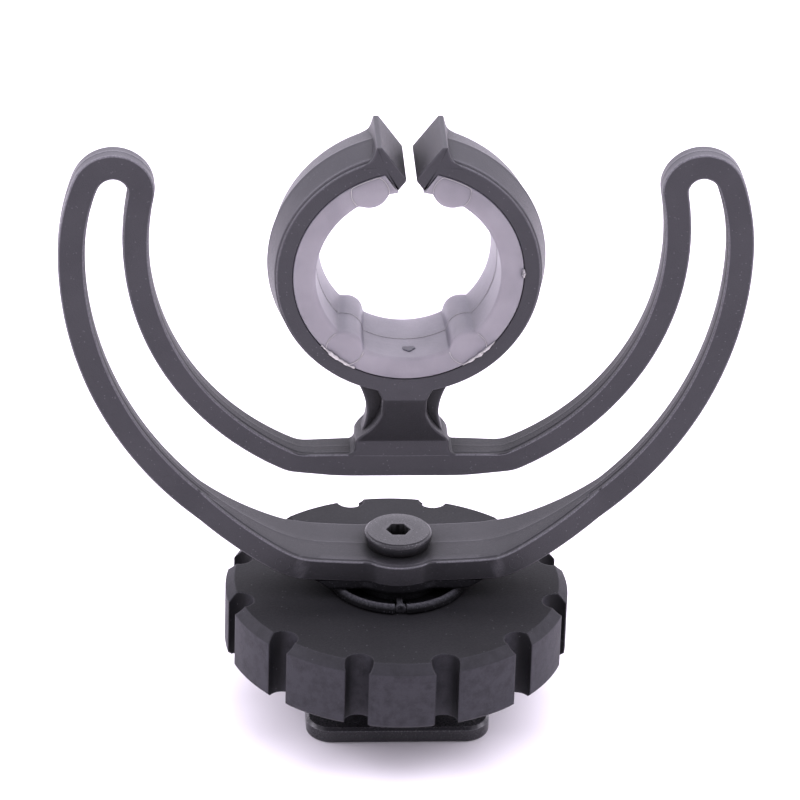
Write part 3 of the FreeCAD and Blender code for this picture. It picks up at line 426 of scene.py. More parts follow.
def moulded_plastic(name, colour, light, edge, roughness, grain=0.2, bump=0.02, specks=0.03, cloud=6.0,
                    rounding=0.15, specular=0.5, edge_share=0.45, gloom=0.75, reach=5.0, wear_and_sheen=None,
                    speck_share=0.3, shut=0.25, clear=0.8, coarse=0):
    """A moulded plastic: clouds between two tones, painted glints on rare grains, a painted highlight on
    the edges, and painted shade in the gaps.

    The sizes grain, bump, cloud, rounding and reach are millimetres. Edges for the painted highlight are
    found by a bevel where there is a rounding, and otherwise by the attribute "edge". The painted shade
    grows from clear to shut as the share of open surroundings within reach falls. The pale mask is a
    group, its
    colour and its settings: real scuffs with painted side light, or a painted highlight along a crest.
    Coarse is the share of painted shade on faces that look down."""
    material = bpy.data.materials.new(name)
    material.use_nodes = True
    tree = material.node_tree
    shader = tree.nodes["Principled BSDF"]
    place = add(tree, "ShaderNodeTexCoord").outputs["Object"]
    texture = add(tree, "ShaderNodeGroup", node_tree=GRAIN, Grain_Size=grain, Speck_Share=specks,
                  Cloud_Size=cloud)
    tree.links.new(place, texture.inputs["Place"])
    flat = add(tree, "ShaderNodeNewGeometry")
    relief = add(tree, "ShaderNodeBump", Strength=1.0, Distance=bump * MM)
    glint = add(tree, "ShaderNodeMath", operation="MULTIPLY")
    if rounding:
        round_edge = add(tree, "ShaderNodeBevel", samples=4, Radius=rounding * MM)
        facing = add(tree, "ShaderNodeVectorMath", operation="DOT_PRODUCT")
        wire(tree, (round_edge.outputs[0], facing.inputs[0]), (flat.outputs["Normal"], facing.inputs[1]),
             (round_edge.outputs[0], relief.inputs["Normal"]))
        edges = scaled(tree, facing.outputs["Value"], 0.99, 0.86, 0, 1)
    else:
        marked = add(tree, "ShaderNodeAttribute", attribute_name="edge")
        edges = scaled(tree, marked.outputs["Fac"], 0.04, 1, 0, 1)
    wire(tree, (edges, glint.inputs[0]),
         (scaled(tree, texture.outputs["Height"], 0.4, 0.6, 0.45, 1), glint.inputs[1]))
    tone = mix_colour(tree, scaled(tree, texture.outputs["Clouds"], 0.35, 0.65, 0, 1), colour, light)
    # Painted glints on rare grains, then a painted highlight on the edges.
    tone = mix_colour(tree, scaled(tree, texture.outputs["Specks"], 0, 1, 0, speck_share), tone, edge)
    tone = mix_colour(tree, scaled(tree, glint.outputs[0], 0, 1, 0, edge_share), tone, edge)
    if coarse:
        # Painted shade on faces that look down.
        below = add(tree, "ShaderNodeGroup", node_tree=UNDERSIDE_SHADE)
        tone = mix_colour(tree, scaled(tree, below.outputs["Mask"], 0, 1, 0, coarse), tone, BLACK)
    if wear_and_sheen:
        # A pale mask: real scuffs with painted side light, or a painted highlight along a crest.
        wear_and_sheen_group, wear_and_sheen_tone, settings = wear_and_sheen
        wear_and_sheen_mask = add(tree, "ShaderNodeGroup", node_tree=wear_and_sheen_group, **settings)
        tree.links.new(place, wear_and_sheen_mask.inputs["Place"])
        tone = mix_colour(tree, wear_and_sheen_mask.outputs["Mask"], tone, wear_and_sheen_tone)
    # Painted shade in the gaps: darker where fewer open surroundings lie within reach.
    openness = add(tree, "ShaderNodeAmbientOcclusion", samples=4, Distance=reach * MM).outputs["AO"]
    tone = mix_colour(tree, scaled(tree, openness, shut, clear, 1 - gloom, 1), BLACK, tone)
    dulled = add(tree, "ShaderNodeMath", operation="ADD")
    wire(
        tree,
        (tone, shader.inputs["Base Color"]),
        (texture.outputs["Height"], relief.inputs["Height"]),
        (relief.outputs[0], shader.inputs["Normal"]),
        (scaled(tree, texture.outputs["Height"], 0.3, 0.7, roughness - 0.05, roughness + 0.05),
         dulled.inputs[0]),
        (scaled(tree, openness, shut, clear, 0.3 * gloom, 0), dulled.inputs[1]),
        (dulled.outputs[0], shader.inputs["Roughness"]),
    )
    shader.inputs["Specular IOR Level"].default_value = specular
    return material


RIM_SCUFFS_AND_SIDE_LIGHT = rim_scuffs_and_side_light()
CREST_HIGHLIGHT = crest_highlight()
UNDERSIDE_SHADE = underside_shade()

# In these finishes the edge colour is a painted highlight on edges, specks are painted glints, gloom is
# painted shade in gaps, and coarse is painted shade on faces that look down.
LYRE_PLASTIC = moulded_plastic("satin_lyre_plastic", (0.0215, 0.021, 0.0255), (0.027, 0.0263, 0.031),
                               (0.2, 0.195, 0.215), 0.4, grain=0.13, bump=0.03, specks=0.015, rounding=0,
                               specular=0.34, edge_share=0.75, gloom=0.95, reach=22.0, shut=0.45,
                               clear=0.95, coarse=0.55)
# The wheel's pale outward faces: real scuffs, and painted light on its sides.
WHEEL_RUBBER = moulded_plastic("matte_wheel_rubber", (0.0066, 0.0066, 0.0078), (0.0095, 0.0095, 0.011),
                               (0.085, 0.083, 0.092), 0.62, grain=0.16, cloud=9.0, rounding=0.25,
                               specular=0.2, specks=0.006, speck_share=0.5, gloom=0.45, reach=2.5,
                               wear_and_sheen=(RIM_SCUFFS_AND_SIDE_LIGHT, (0.031, 0.0303, 0.0362), {}))
# The turret's pale crest is a painted highlight.
TURRET_PLASTIC = moulded_plastic("textured_turret_plastic", (0.002, 0.002, 0.0024), (0.004, 0.004, 0.0046),
                                 (0.07, 0.07, 0.078), 0.45, grain=0.14, bump=0.08, specks=0.08,
                                 rounding=0.05, specular=0.03, edge_share=0.2, reach=3.0,
                                 wear_and_sheen=(CREST_HIGHLIGHT, (0.07, 0.07, 0.078),
                                       {"Level": 14.05 * MM, "Fade": 0.45 * MM}))
FOOT_PLASTIC = moulded_plastic("glossy_foot_plastic", (0.026, 0.0256, 0.029), (0.032, 0.0316, 0.035),
                               (0.4, 0.39, 0.42), 0.24, bump=0.004, specks=0.0, rounding=0.12, gloom=0.3,
                               specular=0.4, edge_share=0.6)
SCREW_BLACK = moulded_plastic("black_screw_head", (0.014, 0.0136, 0.0158), (0.018, 0.0174, 0.02),
                              (0.3, 0.295, 0.315), 0.3, grain=0.14, bump=0.02, specks=0.04, rounding=0,
                              specular=0.4, edge_share=0.8, gloom=0.95, reach=4.0, shut=0.4, clear=0.95)
SADDLE_PLASTIC = moulded_plastic("dark_saddle_plastic", (0.006, 0.006, 0.007), (0.01, 0.01, 0.0115),
                                 (0.09, 0.09, 0.1), 0.5, grain=0.13, bump=0.03, specks=0.08, rounding=0,
                                 specular=0.1, edge_share=0.5, gloom=0.7, reach=3.0)
BRASS = moulded_plastic("turned_brass", (0.5, 0.36, 0.14), (0.58, 0.43, 0.18), (0.8, 0.66, 0.38), 0.3,
                        bump=0.004, specks=0.0)
STEEL = moulded_plastic("plated_steel", (0.42, 0.42, 0.44), (0.5, 0.5, 0.52), (0.75, 0.75, 0.77), 0.3,
                        bump=0.004, specks=0.0)
for metal in (BRASS, STEEL):
    metal.node_tree.nodes["Principled BSDF"].inputs["Metallic"].default_value = 1.0


def soft_liner_material(name, dark, pale):
    """Milky rubber: light goes in and comes back paler, with clouds inside, and painted shade, darker and
    bluer, where the wall is shut in."""
    material = bpy.data.materials.new(name)
    material.use_nodes = True
    tree = material.node_tree
    shader = tree.nodes["Principled BSDF"]
    place = add(tree, "ShaderNodeTexCoord").outputs["Object"]
    texture = add(tree, "ShaderNodeGroup", node_tree=GRAIN, Grain_Size=0.5, Speck_Share=0.0,
                  Cloud_Size=3.0)
    relief = add(tree, "ShaderNodeBump", Strength=1.0, Distance=0.02 * MM)
    tone = mix_colour(tree, scaled(tree, texture.outputs["Clouds"], 0.3, 0.7, 0, 1), dark, pale)
    openness = add(tree, "ShaderNodeAmbientOcclusion", samples=4, Distance=14 * MM).outputs["AO"]
    # Painted shade: towards a dark blue where few open surroundings lie within 14 mm.
    tone = mix_colour(tree, scaled(tree, openness, 0.45, 0.97, 0.8, 0), tone, (0.03, 0.03, 0.06))
    wire(
        tree,
        (place, texture.inputs["Place"]),
        (tone, shader.inputs["Base Color"]),
        (texture.outputs["Height"], relief.inputs["Height"]),
        (relief.outputs[0], shader.inputs["Normal"]),
    )
    shader.inputs["Roughness"].default_value = 0.42
    shader.inputs["Subsurface Weight"].default_value = 0.55
    shader.inputs["Subsurface Radius"].default_value = (1.0, 0.95, 1.0)
    shader.inputs["Subsurface Scale"].default_value = 1.6 * MM
    return material


LINER_RUBBER = soft_liner_material("milky_liner_rubber", (0.215, 0.204, 0.222), (0.26, 0.247, 0.266))
SCAR_RUBBER = soft_liner_material("gate_scar_rubber", (0.03, 0.028, 0.036), (0.1, 0.095, 0.11))
FLASH_RUBBER = soft_liner_material("pale_flash_rubber", (0.42, 0.4, 0.4), (0.55, 0.52, 0.5))


# The lyre's band

def bar_end_bend(start_level, corner, hoop_centre, count):
    """A bar's face from the middle line: a shallow arc, then a parabola round the bend to the hoop."""
    rise = corner[1] - start_level
    radius = (corner[0] ** 2 + rise**2) / (2 * rise)
    centre = np.array([0.0, start_level + radius])
    turned = BEND_EASE / radius
    spoke = corner - centre
    before = centre + [spoke[0] * np.cos(turned) + spoke[1] * np.sin(turned),
                       spoke[1] * np.cos(turned) - spoke[0] * np.sin(turned)]
    spoke = corner - hoop_centre
    turned = BEND_EASE / np.hypot(*spoke)
    after = hoop_centre + [spoke[0] * np.cos(turned) - spoke[1] * np.sin(turned),
                           spoke[1] * np.cos(turned) + spoke[0] * np.sin(turned)]
    sag = arc_between(centre, (0.0, start_level), before, count)
    return chain(sag, bend(before, corner, after, 12)), after


def level_point(centre, radius, level):
    """The right-hand point of a circle at a height."""
    return np.array([centre[0] + np.sqrt(radius**2 - (centre[1] - level) ** 2), level])


def band_edges():
    """The band's two edges as seen from the front, point beside point, all the way round.

    The first runs along the bar's underside, the outside of the hoop, round the tip and down the inner
    hoop to the top of the inner bar; the second runs beside it through the slot. Both are built for the
    right half from arcs that meet smoothly, and mirrored."""
    base, top = BAR_BASE, BAR_BASE + BAR_THICKNESS
    lower_end = np.array([BAR_HALF_LENGTH, base + BAR_SAG])
    across, rise = HOOP_REACH - lower_end[0], WIDEST - lower_end[1]
    lower_radius = (across**2 + rise**2) / (2 * across)
    lower_centre = np.array([HOOP_REACH - lower_radius, WIDEST])
    upper_end = level_point(lower_centre, lower_radius - HOOP_BAND, top + BAR_SAG)
    upper_centre = np.array([HOOP_REACH - UPPER_RADIUS, WIDEST])
    tip_across = np.sqrt((UPPER_RADIUS - TIP_RADIUS) ** 2 - WIDEST_BELOW_TIP**2)
    tip = np.array([upper_centre[0] + tip_across, TIP_HEIGHT])
    tip_turn = np.arctan2(WIDEST_BELOW_TIP, tip_across)
    inside_centre = INNER_CENTRE - [0, INNER_BAND_DROP]
    inside_radius = INNER_RADIUS - INNER_BAND
    inner_top = INNER_BASE + INNER_BAR_THICKNESS
    inside_top = level_point(inside_centre, inside_radius, TIP_HEIGHT)
    inside_join = level_point(inside_centre, inside_radius, inner_top - INNER_BAND_DROP / 2)
    outside_top = level_point(INNER_CENTRE, INNER_RADIUS, TIP_HEIGHT)
    outside_join = level_point(INNER_CENTRE, INNER_RADIUS, INNER_BASE + BAR_SAG)

    under, under_end = bar_end_bend(base, lower_end, lower_centre, 30)
    over, over_end = bar_end_bend(top, upper_end, lower_centre, 30)
    first = chain(
        under,
        arc_between(lower_centre, under_end, (HOOP_REACH, WIDEST), 110),
        arc(upper_centre, UPPER_RADIUS, 0, tip_turn, 24),
        arc_between(tip, tip + TIP_RADIUS * np.array([np.cos(tip_turn), np.sin(tip_turn)]),
                    tip + [0, TIP_RADIUS], 14),
        arc_between(tip, tip + [0, TIP_RADIUS], inside_top, 18),
        arc_between(inside_centre, inside_top, (inside_radius, inside_centre[1]), 18),
        arc_between(inside_centre, (inside_radius, inside_centre[1]), inside_join, 96),
        line(inside_join, (BLOCK_HALF_WIDTH, inner_top), 16),
        line((BLOCK_HALF_WIDTH, inner_top), (0, inner_top), 12),
    )
    second = chain(
        over,
        arc_between(lower_centre, over_end, (HOOP_REACH - HOOP_BAND, WIDEST), 110),
        arc(upper_centre, UPPER_RADIUS - HOOP_BAND, 0, tip_turn, 24),
        arc_between(tip, tip + SLOT_RADIUS * np.array([np.cos(tip_turn), np.sin(tip_turn)]),
                    tip + [0, SLOT_RADIUS], 14),
        arc_between(tip, tip + [0, SLOT_RADIUS], outside_top, 18),
        arc_between(INNER_CENTRE, outside_top, (INNER_RADIUS, INNER_CENTRE[1]), 18),
        arc_between(INNER_CENTRE, (INNER_RADIUS, INNER_CENTRE[1]), outside_join, 96),
        line(outside_join, (INNER_FLAT_HALF, INNER_BASE), 16),
        line((INNER_FLAT_HALF, INNER_BASE), (0, INNER_BASE), 12),
    )
    whole = []
    for half in (first, second):
        mirrored = (half * [-1, 1])[::-1][1:-1]
        whole.append(softened(np.concatenate([half, mirrored]), 1.6, closed=True))
    along = np.concatenate([np.arange(len(first)), np.arange(len(first))[::-1][1:-1]]) / (len(first) - 1)
    return whole[0], whole[1], along


def bar_depth_at(x):
    """Half the depth of bar and outer hoop at a distance from the middle: the boss's circle, the circle
    that blends it into the bar, the bar, and the straight flare down to the hoop."""
    x = np.abs(x)
    half_bar, half_hoop = BAR_DEPTH / 2, HOOP_DEPTH / 2
    foot = np.sqrt((BOSS_RADIUS + BOSS_BLEND) ** 2 - (half_bar + BOSS_BLEND) ** 2)
    touch = foot * BOSS_RADIUS / (BOSS_RADIUS + BOSS_BLEND)
    boss = np.sqrt(np.clip(BOSS_RADIUS**2 - x**2, 0, None))
    blend = half_bar + BOSS_BLEND - np.sqrt(np.clip(BOSS_BLEND**2 - (foot - x) ** 2, 0, None))
    flare = np.interp(x, [FLARE_START, FLARE_END], [half_bar, half_hoop])
    return np.where(x < touch, boss, np.where(x < foot, blend, flare))


def inner_depth_at(x):
    """Half the depth of the inner hoop, which grows evenly towards the centre block."""
    return np.interp(np.abs(x), [BLOCK_HALF_WIDTH, INNER_RADIUS], [BLOCK_DEPTH / 2, HOOP_DEPTH / 2])


# The band's widest half span, its corners, and the rows that guard them from the shading of flat faces
HALF_SPAN = 34.049
CORNER = 0.15
CORNER_TURNS = np.radians([0, 18, 36, 54, 72, 90])
GUARD = 0.05


def lyre_band():
    """The closed band of hoops and bars: a rounded oblong section carried along its two edges.

    Across the section, a point is given by its way from the first edge to the second and by its depth.
    Both visible faces are crowned to a fine parting line half way back, and near the front the face
    that looks up steps down to a narrow ledge."""
    first, second, along = band_edges()
    width = np.hypot(*(second - first).T)
    inner_side = np.clip((along - 0.56) / 0.04, 0, 1)
    middle_x = (first[:, 0] + second[:, 0]) / 2
    depth_here = bar_depth_at(middle_x) * (1 - inner_side) + inner_depth_at(middle_x) * inner_side
    ledge_second = 0.08 * (1 - np.clip((along - 0.5) / 0.03, 0, 1))
    ledge_first = 0.08 * np.clip((along - 0.58) / 0.03, 0, 1)
    crown, ridge = 0.03, 0.012
    ledge_width = np.interp(np.abs(middle_x), [BAR_HALF_LENGTH - 2, BAR_HALF_LENGTH + 4], [0.25, 0.4])

    def face(ledge):
        """One long face from front to back, as (way out of the band, depth from the middle) pairs."""
        reach = depth_here - CORNER
        riser = -depth_here + ledge_width
        places = [(-ledge, -reach)]
        for share in np.linspace(0, 1, 9):
            places.append((-ledge * (1 - share * share * (3 - 2 * share)), riser + 0.26 * share))
        for share in (0.75, 0.5, 0.25):
            places.append((crown * (1 - share), share * (riser + 0.35)))
        places += [(crown + rise, depth) for rise, depth in
                   ((0, -0.09), (ridge, -0.02), (ridge, 0.02), (0, 0.09))]
        for share in (0.3, 0.65):
            places.append((crown * (1 - share), share * reach))
        return places + [(0, reach - GUARD), (0, reach)]

    columns = [(-out, depth) for out, depth in face(ledge_first)]
    for turn in CORNER_TURNS[1:]:
        columns.append((CORNER - CORNER * np.cos(turn), depth_here - CORNER + CORNER * np.sin(turn)))
    columns += [(CORNER + GUARD, depth_here), (width / 2, depth_here),
                (width - CORNER - GUARD, depth_here)]
    for turn in CORNER_TURNS[:-1]:
        columns.append((width - CORNER + CORNER * np.sin(turn),
                        depth_here - CORNER + CORNER * np.cos(turn)))
    columns += [(width + out, depth) for out, depth in reversed(face(ledge_second))]
    for turn in CORNER_TURNS[1:]:
        columns.append((width - ledge_second - CORNER + CORNER * np.cos(turn),
                        -depth_here + CORNER - CORNER * np.sin(turn)))
    columns += [(width - ledge_second - CORNER - GUARD, -depth_here), (width / 2, -depth_here),
                (CORNER + GUARD + ledge_first, -depth_here)]
    for turn in CORNER_TURNS[:-1]:
        columns.append((ledge_first + CORNER - CORNER * np.sin(turn),
                        -depth_here + CORNER - CORNER * np.cos(turn)))
    across = np.stack([np.broadcast_to(out, width.shape) for out, _ in columns], 1)
    share = across / width[:, None]
    flat = first[:, None] * (1 - share[..., None]) + second[:, None] * share[..., None]
    flat[..., 0] = np.clip(flat[..., 0], -HALF_SPAN, HALF_SPAN)
    depth = np.stack([np.broadcast_to(depth, width.shape) for _, depth in columns], 1)
    own = bar_depth_at(flat[..., 0]) * (1 - inner_side[:, None])
    own = own + inner_depth_at(flat[..., 0]) * inner_side[:, None]
    edge_gap = depth_here[:, None] - np.abs(depth)
    stretched = np.sign(depth) * (own - edge_gap)
    depth = np.where(np.abs(depth) > 0.55 * depth_here[:, None], stretched, depth)
    return skin(in_space(flat, depth), closed_rows=True)


# The centre stem

def rounded_oblong(half_width, half_depth, corner):
    """Sections of a post: oblongs with round corners, one for each pair of half sizes, with three points
    on each straight side."""
    steps = np.radians([0, 22.5, 45, 67.5, 90])
    turns = (steps + np.pi / 2 * np.arange(4)[:, None]).ravel()
    quarter = np.repeat(np.arange(4), len(steps))
    x = np.array([1, -1, -1, 1])[quarter] * (half_width[:, None] - corner) + corner * np.cos(turns)
    y = np.array([1, 1, -1, -1])[quarter] * (half_depth[:, None] - corner) + corner * np.sin(turns)
    shares = (0.02, 0.5, 0.98)
    columns = []
    for last in range(4, 20, 5):
        after = (last + 1) % 20
        columns += [(x[:, index], y[:, index]) for index in range(last - 4, last + 1)]
        columns += [(x[:, last] * (1 - share) + x[:, after] * share,
                     y[:, last] * (1 - share) + y[:, after] * share) for share in shares]
    return np.stack([column[0] for column in columns], 1), np.stack([column[1] for column in columns], 1)


def post(outline, levels, depths, corner):
    """A post whose half width follows an outline and whose half depth follows the height."""
    reached = np.interp(levels, outline[:, 1], outline[:, 0])
    half_depth = np.interp(levels, depths[0], depths[1])
    x, y = rounded_oblong(reached, half_depth, corner)
    grid = np.stack([x, y, np.broadcast_to(levels[:, None], x.shape)], -1)
    return skin(grid)


# How far the stem and the lips stand out of the ring's faces, and the fillet where the block meets the bar
PROUD = 0.004
FOOT_FILLET = 0.8


def centre_post():
    """The block and the waisted stem: straight sides, a bevel, a long curve in to the waist, and a
    fillet out to the ring; its front leans forward from the block to the ring's depth."""
    root = (RING_INNER + RING_OUTER) / 2
    bar_top = INNER_BASE + INNER_BAR_THICKNESS
    shoulder = (4.0, RING_HEIGHT - np.sqrt(root**2 - 4.0**2))
    outline = chain(
        line((BLOCK_HALF_WIDTH + FOOT_FILLET, INNER_BASE + 1.6),
             (BLOCK_HALF_WIDTH + FOOT_FILLET, bar_top - 0.1), 8),
        arc((BLOCK_HALF_WIDTH + FOOT_FILLET, bar_top - 0.1 + FOOT_FILLET), FOOT_FILLET, 1.5 * np.pi,
            np.pi, 14),
        line((BLOCK_HALF_WIDTH, bar_top - 0.1 + FOOT_FILLET), (BLOCK_HALF_WIDTH, BLOCK_TOP), 6),
        line((BLOCK_HALF_WIDTH, BLOCK_TOP), (4.2, BLOCK_TOP + 0.58), 4),
        arc_through((4.2, BLOCK_TOP + 0.58), (2.62, BLOCK_TOP + 2.58), (2.2, BLOCK_TOP + 3.75), 30),
        line((2.2, BLOCK_TOP + 3.75), (2.2, BLOCK_TOP + 5.56), 16),
        arc_through((2.2, BLOCK_TOP + 5.56), (2.7, BLOCK_TOP + 6.65), shoulder, 34),
    )
    outline = softened(outline, 1.0)
    levels = np.unique(np.concatenate([outline[:, 1], np.linspace(BLOCK_TOP - 0.2, BLOCK_TOP + 0.2, 9),
                                       np.linspace(BLOCK_TOP + 5.4, BLOCK_TOP + 5.9, 9)]))
    half = BLOCK_DEPTH / 2
    heights = np.array([INNER_BASE + 1.6, bar_top - 0.2, BLOCK_TOP, BLOCK_TOP + 5.68, RING_HEIGHT])
    depths = np.array([half - 0.1, half, half, RING_DEPTH / 2, RING_DEPTH / 2]) + PROUD
    fine = np.linspace(INNER_BASE, RING_HEIGHT, 600)
    soft = softened(np.stack([fine, np.interp(fine, heights, depths)], 1), 3.0)
    return post(outline, levels, (soft[:, 0], soft[:, 1]), 0.2)


def centre_web():
    """The thinner web behind the post's edges: it curves in to its waist and out along the ring."""
    top = (6.87, RING_HEIGHT - np.sqrt(RING_OUTER**2 - 6.87**2))
    outline = chain(
        line((BLOCK_HALF_WIDTH, INNER_BASE + 2.0), (BLOCK_HALF_WIDTH, BLOCK_TOP - 0.52), 10),
        arc_through((BLOCK_HALF_WIDTH, BLOCK_TOP - 0.52), (3.84, BLOCK_TOP + 1.29),
                    (3.57, BLOCK_TOP + 2.9), 26),
        arc_through((3.57, BLOCK_TOP + 2.9), (4.26, BLOCK_TOP + 5.62), top, 44),
    )
    outline = softened(outline, 1.0)
    levels = np.unique(outline[:, 1])
    return post(outline, levels, ([0, 100], [1.0, 1.0]), 0.2)


# The split ring

def plain_band(first, second, half, corner):
    """An oblong section with round corners, carried along two edges: across it a point lies between the
    edges, and from front to back within half the depth on either side."""
    width = np.hypot(*(second - first).T)
    half = np.broadcast_to(half, width.shape)
    near, far = corner + GUARD, width - corner - GUARD
    side = half - corner
    columns = [(0 * width, -side + GUARD), (0 * width, 0 * side), (0 * width, side - GUARD)]
    columns += [(corner - corner * np.cos(turn), side + corner * np.sin(turn)) for turn in CORNER_TURNS]
    columns += [(near + 0 * width, half), (width / 2, half), (far, half)]
    columns += [(width - corner + corner * np.sin(turn), side + corner * np.cos(turn))
                for turn in CORNER_TURNS]
    columns += [(width, side - GUARD), (width, 0 * side), (width, -side + GUARD)]
    columns += [(width - corner + corner * np.cos(turn), -side - corner * np.sin(turn))
                for turn in CORNER_TURNS]
    columns += [(far, -half), (width / 2, -half), (near + 0 * width, -half)]
    columns += [(corner - corner * np.sin(turn), -side - corner * np.cos(turn)) for turn in CORNER_TURNS]
    share = np.stack([np.broadcast_to(out, width.shape) for out, _ in columns], 1) / width[:, None]
    depth = np.stack([np.broadcast_to(depth, width.shape) for _, depth in columns], 1)
    flat = first[:, None] * (1 - share[..., None]) + second[:, None] * share[..., None]
    return in_space(flat, depth)


def ring_arc(radius, start, end, count):
    """Points round the ring's axis, at turns measured from straight up."""
    turn = np.linspace(start, end, count)
    return np.stack([radius * np.sin(turn), RING_HEIGHT + radius * np.cos(turn)], 1)


# Half the mouth, where the ring's ends lie inside the lips, half the gap in the belt, and the rounding
# of the rims
MOUTH = np.radians(11.0)
BELT_MOUTH = np.radians(14.0)
RIM_EASE = 0.13


def split_ring():
    """The ring as a band between two circles, open at the mouth, where its ends lie inside the lips."""
    first = ring_arc(RING_OUTER, MOUTH, 2 * np.pi - MOUTH, 240)
    second = ring_arc(RING_INNER, MOUTH, 2 * np.pi - MOUTH, 240)
    return skin(plain_band(first, second, RING_DEPTH / 2, RIM_EASE))


def prism(outline, heart, half, ease):
    """A closed outline carried from front to back, its end corners rounded by an ease for each point;
    the flat ends run in to the heart."""
    ahead = np.roll(outline, -1, 0) - np.roll(outline, 1, 0)
    normal = np.stack([ahead[:, 1], -ahead[:, 0]], 1) / np.hypot(*ahead.T)[:, None]
    if ((outline - heart) * normal).sum() < 0:
        normal = -normal
    turns = np.radians([90, 67.5, 45, 22.5, 0])
    rows = [(0.04 * (outline - heart) + heart, half + 0 * ease),
            (outline - normal * (ease + 0.05)[:, None], half + 0 * ease)]
    rows += [(outline - normal * (ease * (1 - np.cos(turn)))[:, None], half - ease * (1 - np.sin(turn)))
             for turn in turns]
    rows.append((outline, half - ease - 0.05))
    front = [in_space(flat, -depth) for flat, depth in rows]
    back = [in_space(flat, depth) for flat, depth in reversed(rows)]
    return skin(np.stack(front + [in_space(outline, 0.0)] + back))


def lead_in_lip(side):
    """A lip at the mouth: from the ring's outer face a fillet rises into the lip's outer side, over its
    narrow top, down the lead-in slope to the blunt nose, and back along its root into the ring."""
    on_ring = np.array([4.5, np.sqrt(RING_OUTER**2 - 4.5**2)])
    foot = np.array([3.83, np.sqrt(RING_OUTER**2 - 3.83**2)])
    tip_out, tip_in = np.array([3.42, RING_OUTER + 1.0]), np.array([2.93, RING_OUTER + 1.0])
    on_side = foot + (tip_out - foot) * 0.55
    shoulder, neck = np.array([0.5, RING_INNER - 0.68]), np.array([0.52, RING_INNER - 1.0])
    nose, root = np.array([1.27, RING_INNER - 2.0]), np.array([2.51, np.sqrt(RING_INNER**2 - 2.51**2)])
    buried_low, buried_high = np.array([3.2, RING_INNER + 0.1]), np.array([5.0, RING_OUTER - 1.3])
    outline = chain(bend(on_ring, foot, on_side, 24), line(on_side, tip_out, 8), line(tip_out, tip_in, 10),
                    line(tip_in, shoulder, 60), line(shoulder, neck, 10), line(neck, nose, 30),
                    line(nose, root, 30), line(root, buried_low, 12), line(buried_low, buried_high, 20),
                    line(buried_high, on_ring, 12))[:-1]
    outline = softened(outline, 1.0, closed=True)
    radius = np.hypot(*outline.T)
    in_band = np.arctan2(outline[:, 0], outline[:, 1]) > MOUTH
    outside = np.where(in_band, np.maximum(radius - RING_OUTER, RING_INNER - radius), 1.0)
    ease = RIM_EASE * np.clip(outside / 0.2 + 0.03, 0.03, 1)
    turned = [side, 1.0]
    centre = np.array([0.0, RING_HEIGHT])
    return prism(outline * turned + centre, np.array([2.6, RING_OUTER - 1.0]) * turned + centre,
                 RING_DEPTH / 2 + PROUD, ease)


def ring_belt():
    """The raised belt round the ring: a small step out of the front rim, then a slope up to the ridge at
    the middle and down again, turned about the ring's axis between the lips."""
    rim, step, width = RING_DEPTH / 2 - 0.37, 0.15, 0.11
    base, step_top = RING_OUTER - 0.3, RING_OUTER + step
    front = [(base, 0.4 - rim), (base, -rim + 0.02), (RING_OUTER - 0.05, -rim - 0.02),
             (RING_OUTER + 0.05, -rim + 0.01), (step_top - 0.02, -rim + width),
             (step_top + 0.01, -rim + width + 0.04)]
    front += [(step_top + (RING_RIDGE - step) * share, (-rim + width) * (1 - share))
              for share in np.linspace(0.1, 0.97, 8)]
    front += [(RING_OUTER + RING_RIDGE + 0.02, 0.0)]
    back = [(radius, -depth) for radius, depth in reversed(front[:-1])]
    return skin(turned_ring(np.array(front + back), BELT_MOUTH, 2 * np.pi - BELT_MOUTH, 200))


def turned_ring(profile, start, end, count):
    """A section carried round the ring's axis from one turn to another, measured from straight up."""
    turn = np.linspace(start, end, count)[:, None]
    radius, depth = profile[:, 0], profile[:, 1]
    x = radius * np.sin(turn)
    z = RING_HEIGHT + radius * np.cos(turn)
    return np.stack([x, np.broadcast_to(depth, x.shape), z], -1)


MARK_RADIUS = 0.72


def ejector_mark(x, height, depth_at):
    """A faint round witness line on a front face: a fine hoop half sunk into it."""
    turn = np.linspace(0, 2 * np.pi, 48, endpoint=False)[:, None]
    around = np.linspace(0, 2 * np.pi, 8, endpoint=False)
    radius = MARK_RADIUS + 0.04 * np.cos(around)
    places = x + radius * np.cos(turn)
    depth = depth_at(places) + 0.015 * np.sin(around)
    return skin(np.stack([places, -depth, height + radius * np.sin(turn)], -1), closed_rows=True)


def lyre():
    """The whole moulding as overlapping skins of one object, with the round ejector marks on its front."""
    ring = split_ring()
    outside = np.hypot(ring[0][:, 0], ring[0][:, 2] - RING_HEIGHT) > (RING_INNER + RING_OUTER) / 2
    skins = [lyre_band(), centre_post(), centre_web(), ring, ring_belt(), lead_in_lip(1), lead_in_lip(-1)]
    # Shares of the painted edge highlight for each skin.
    wear_and_sheen = [1.0, 0.45, 0.3, np.where(outside, 0.5, 0.04), 0.5, 0.2, 0.2] + [0.12] * 7
    for side in (-1, 1):
        skins.append(ejector_mark(side * 11.7, BAR_BASE + 1.9, bar_depth_at))
        skins.append(ejector_mark(side * 23.15, BAR_BASE + 10.1, bar_depth_at))
        skins.append(ejector_mark(side * 13.1, INNER_BASE + 2.65, inner_depth_at))
    skins.append(ejector_mark(0.0, BLOCK_TOP + 7.15, lambda x: RING_DEPTH / 2 + PROUD + 0 * x))
    piece = make_piece("lyre_moulding", skins, LYRE_PLASTIC, "base", wear_and_sheen=wear_and_sheen)
    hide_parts("lyre")


# The saddle under the bar, and the turret ring

SADDLE_BASE = 14.52
SADDLE_TOP = BAR_BASE + 0.16
SADDLE_LEDGE = 0.05
SADDLE_ROUNDING = 0.42


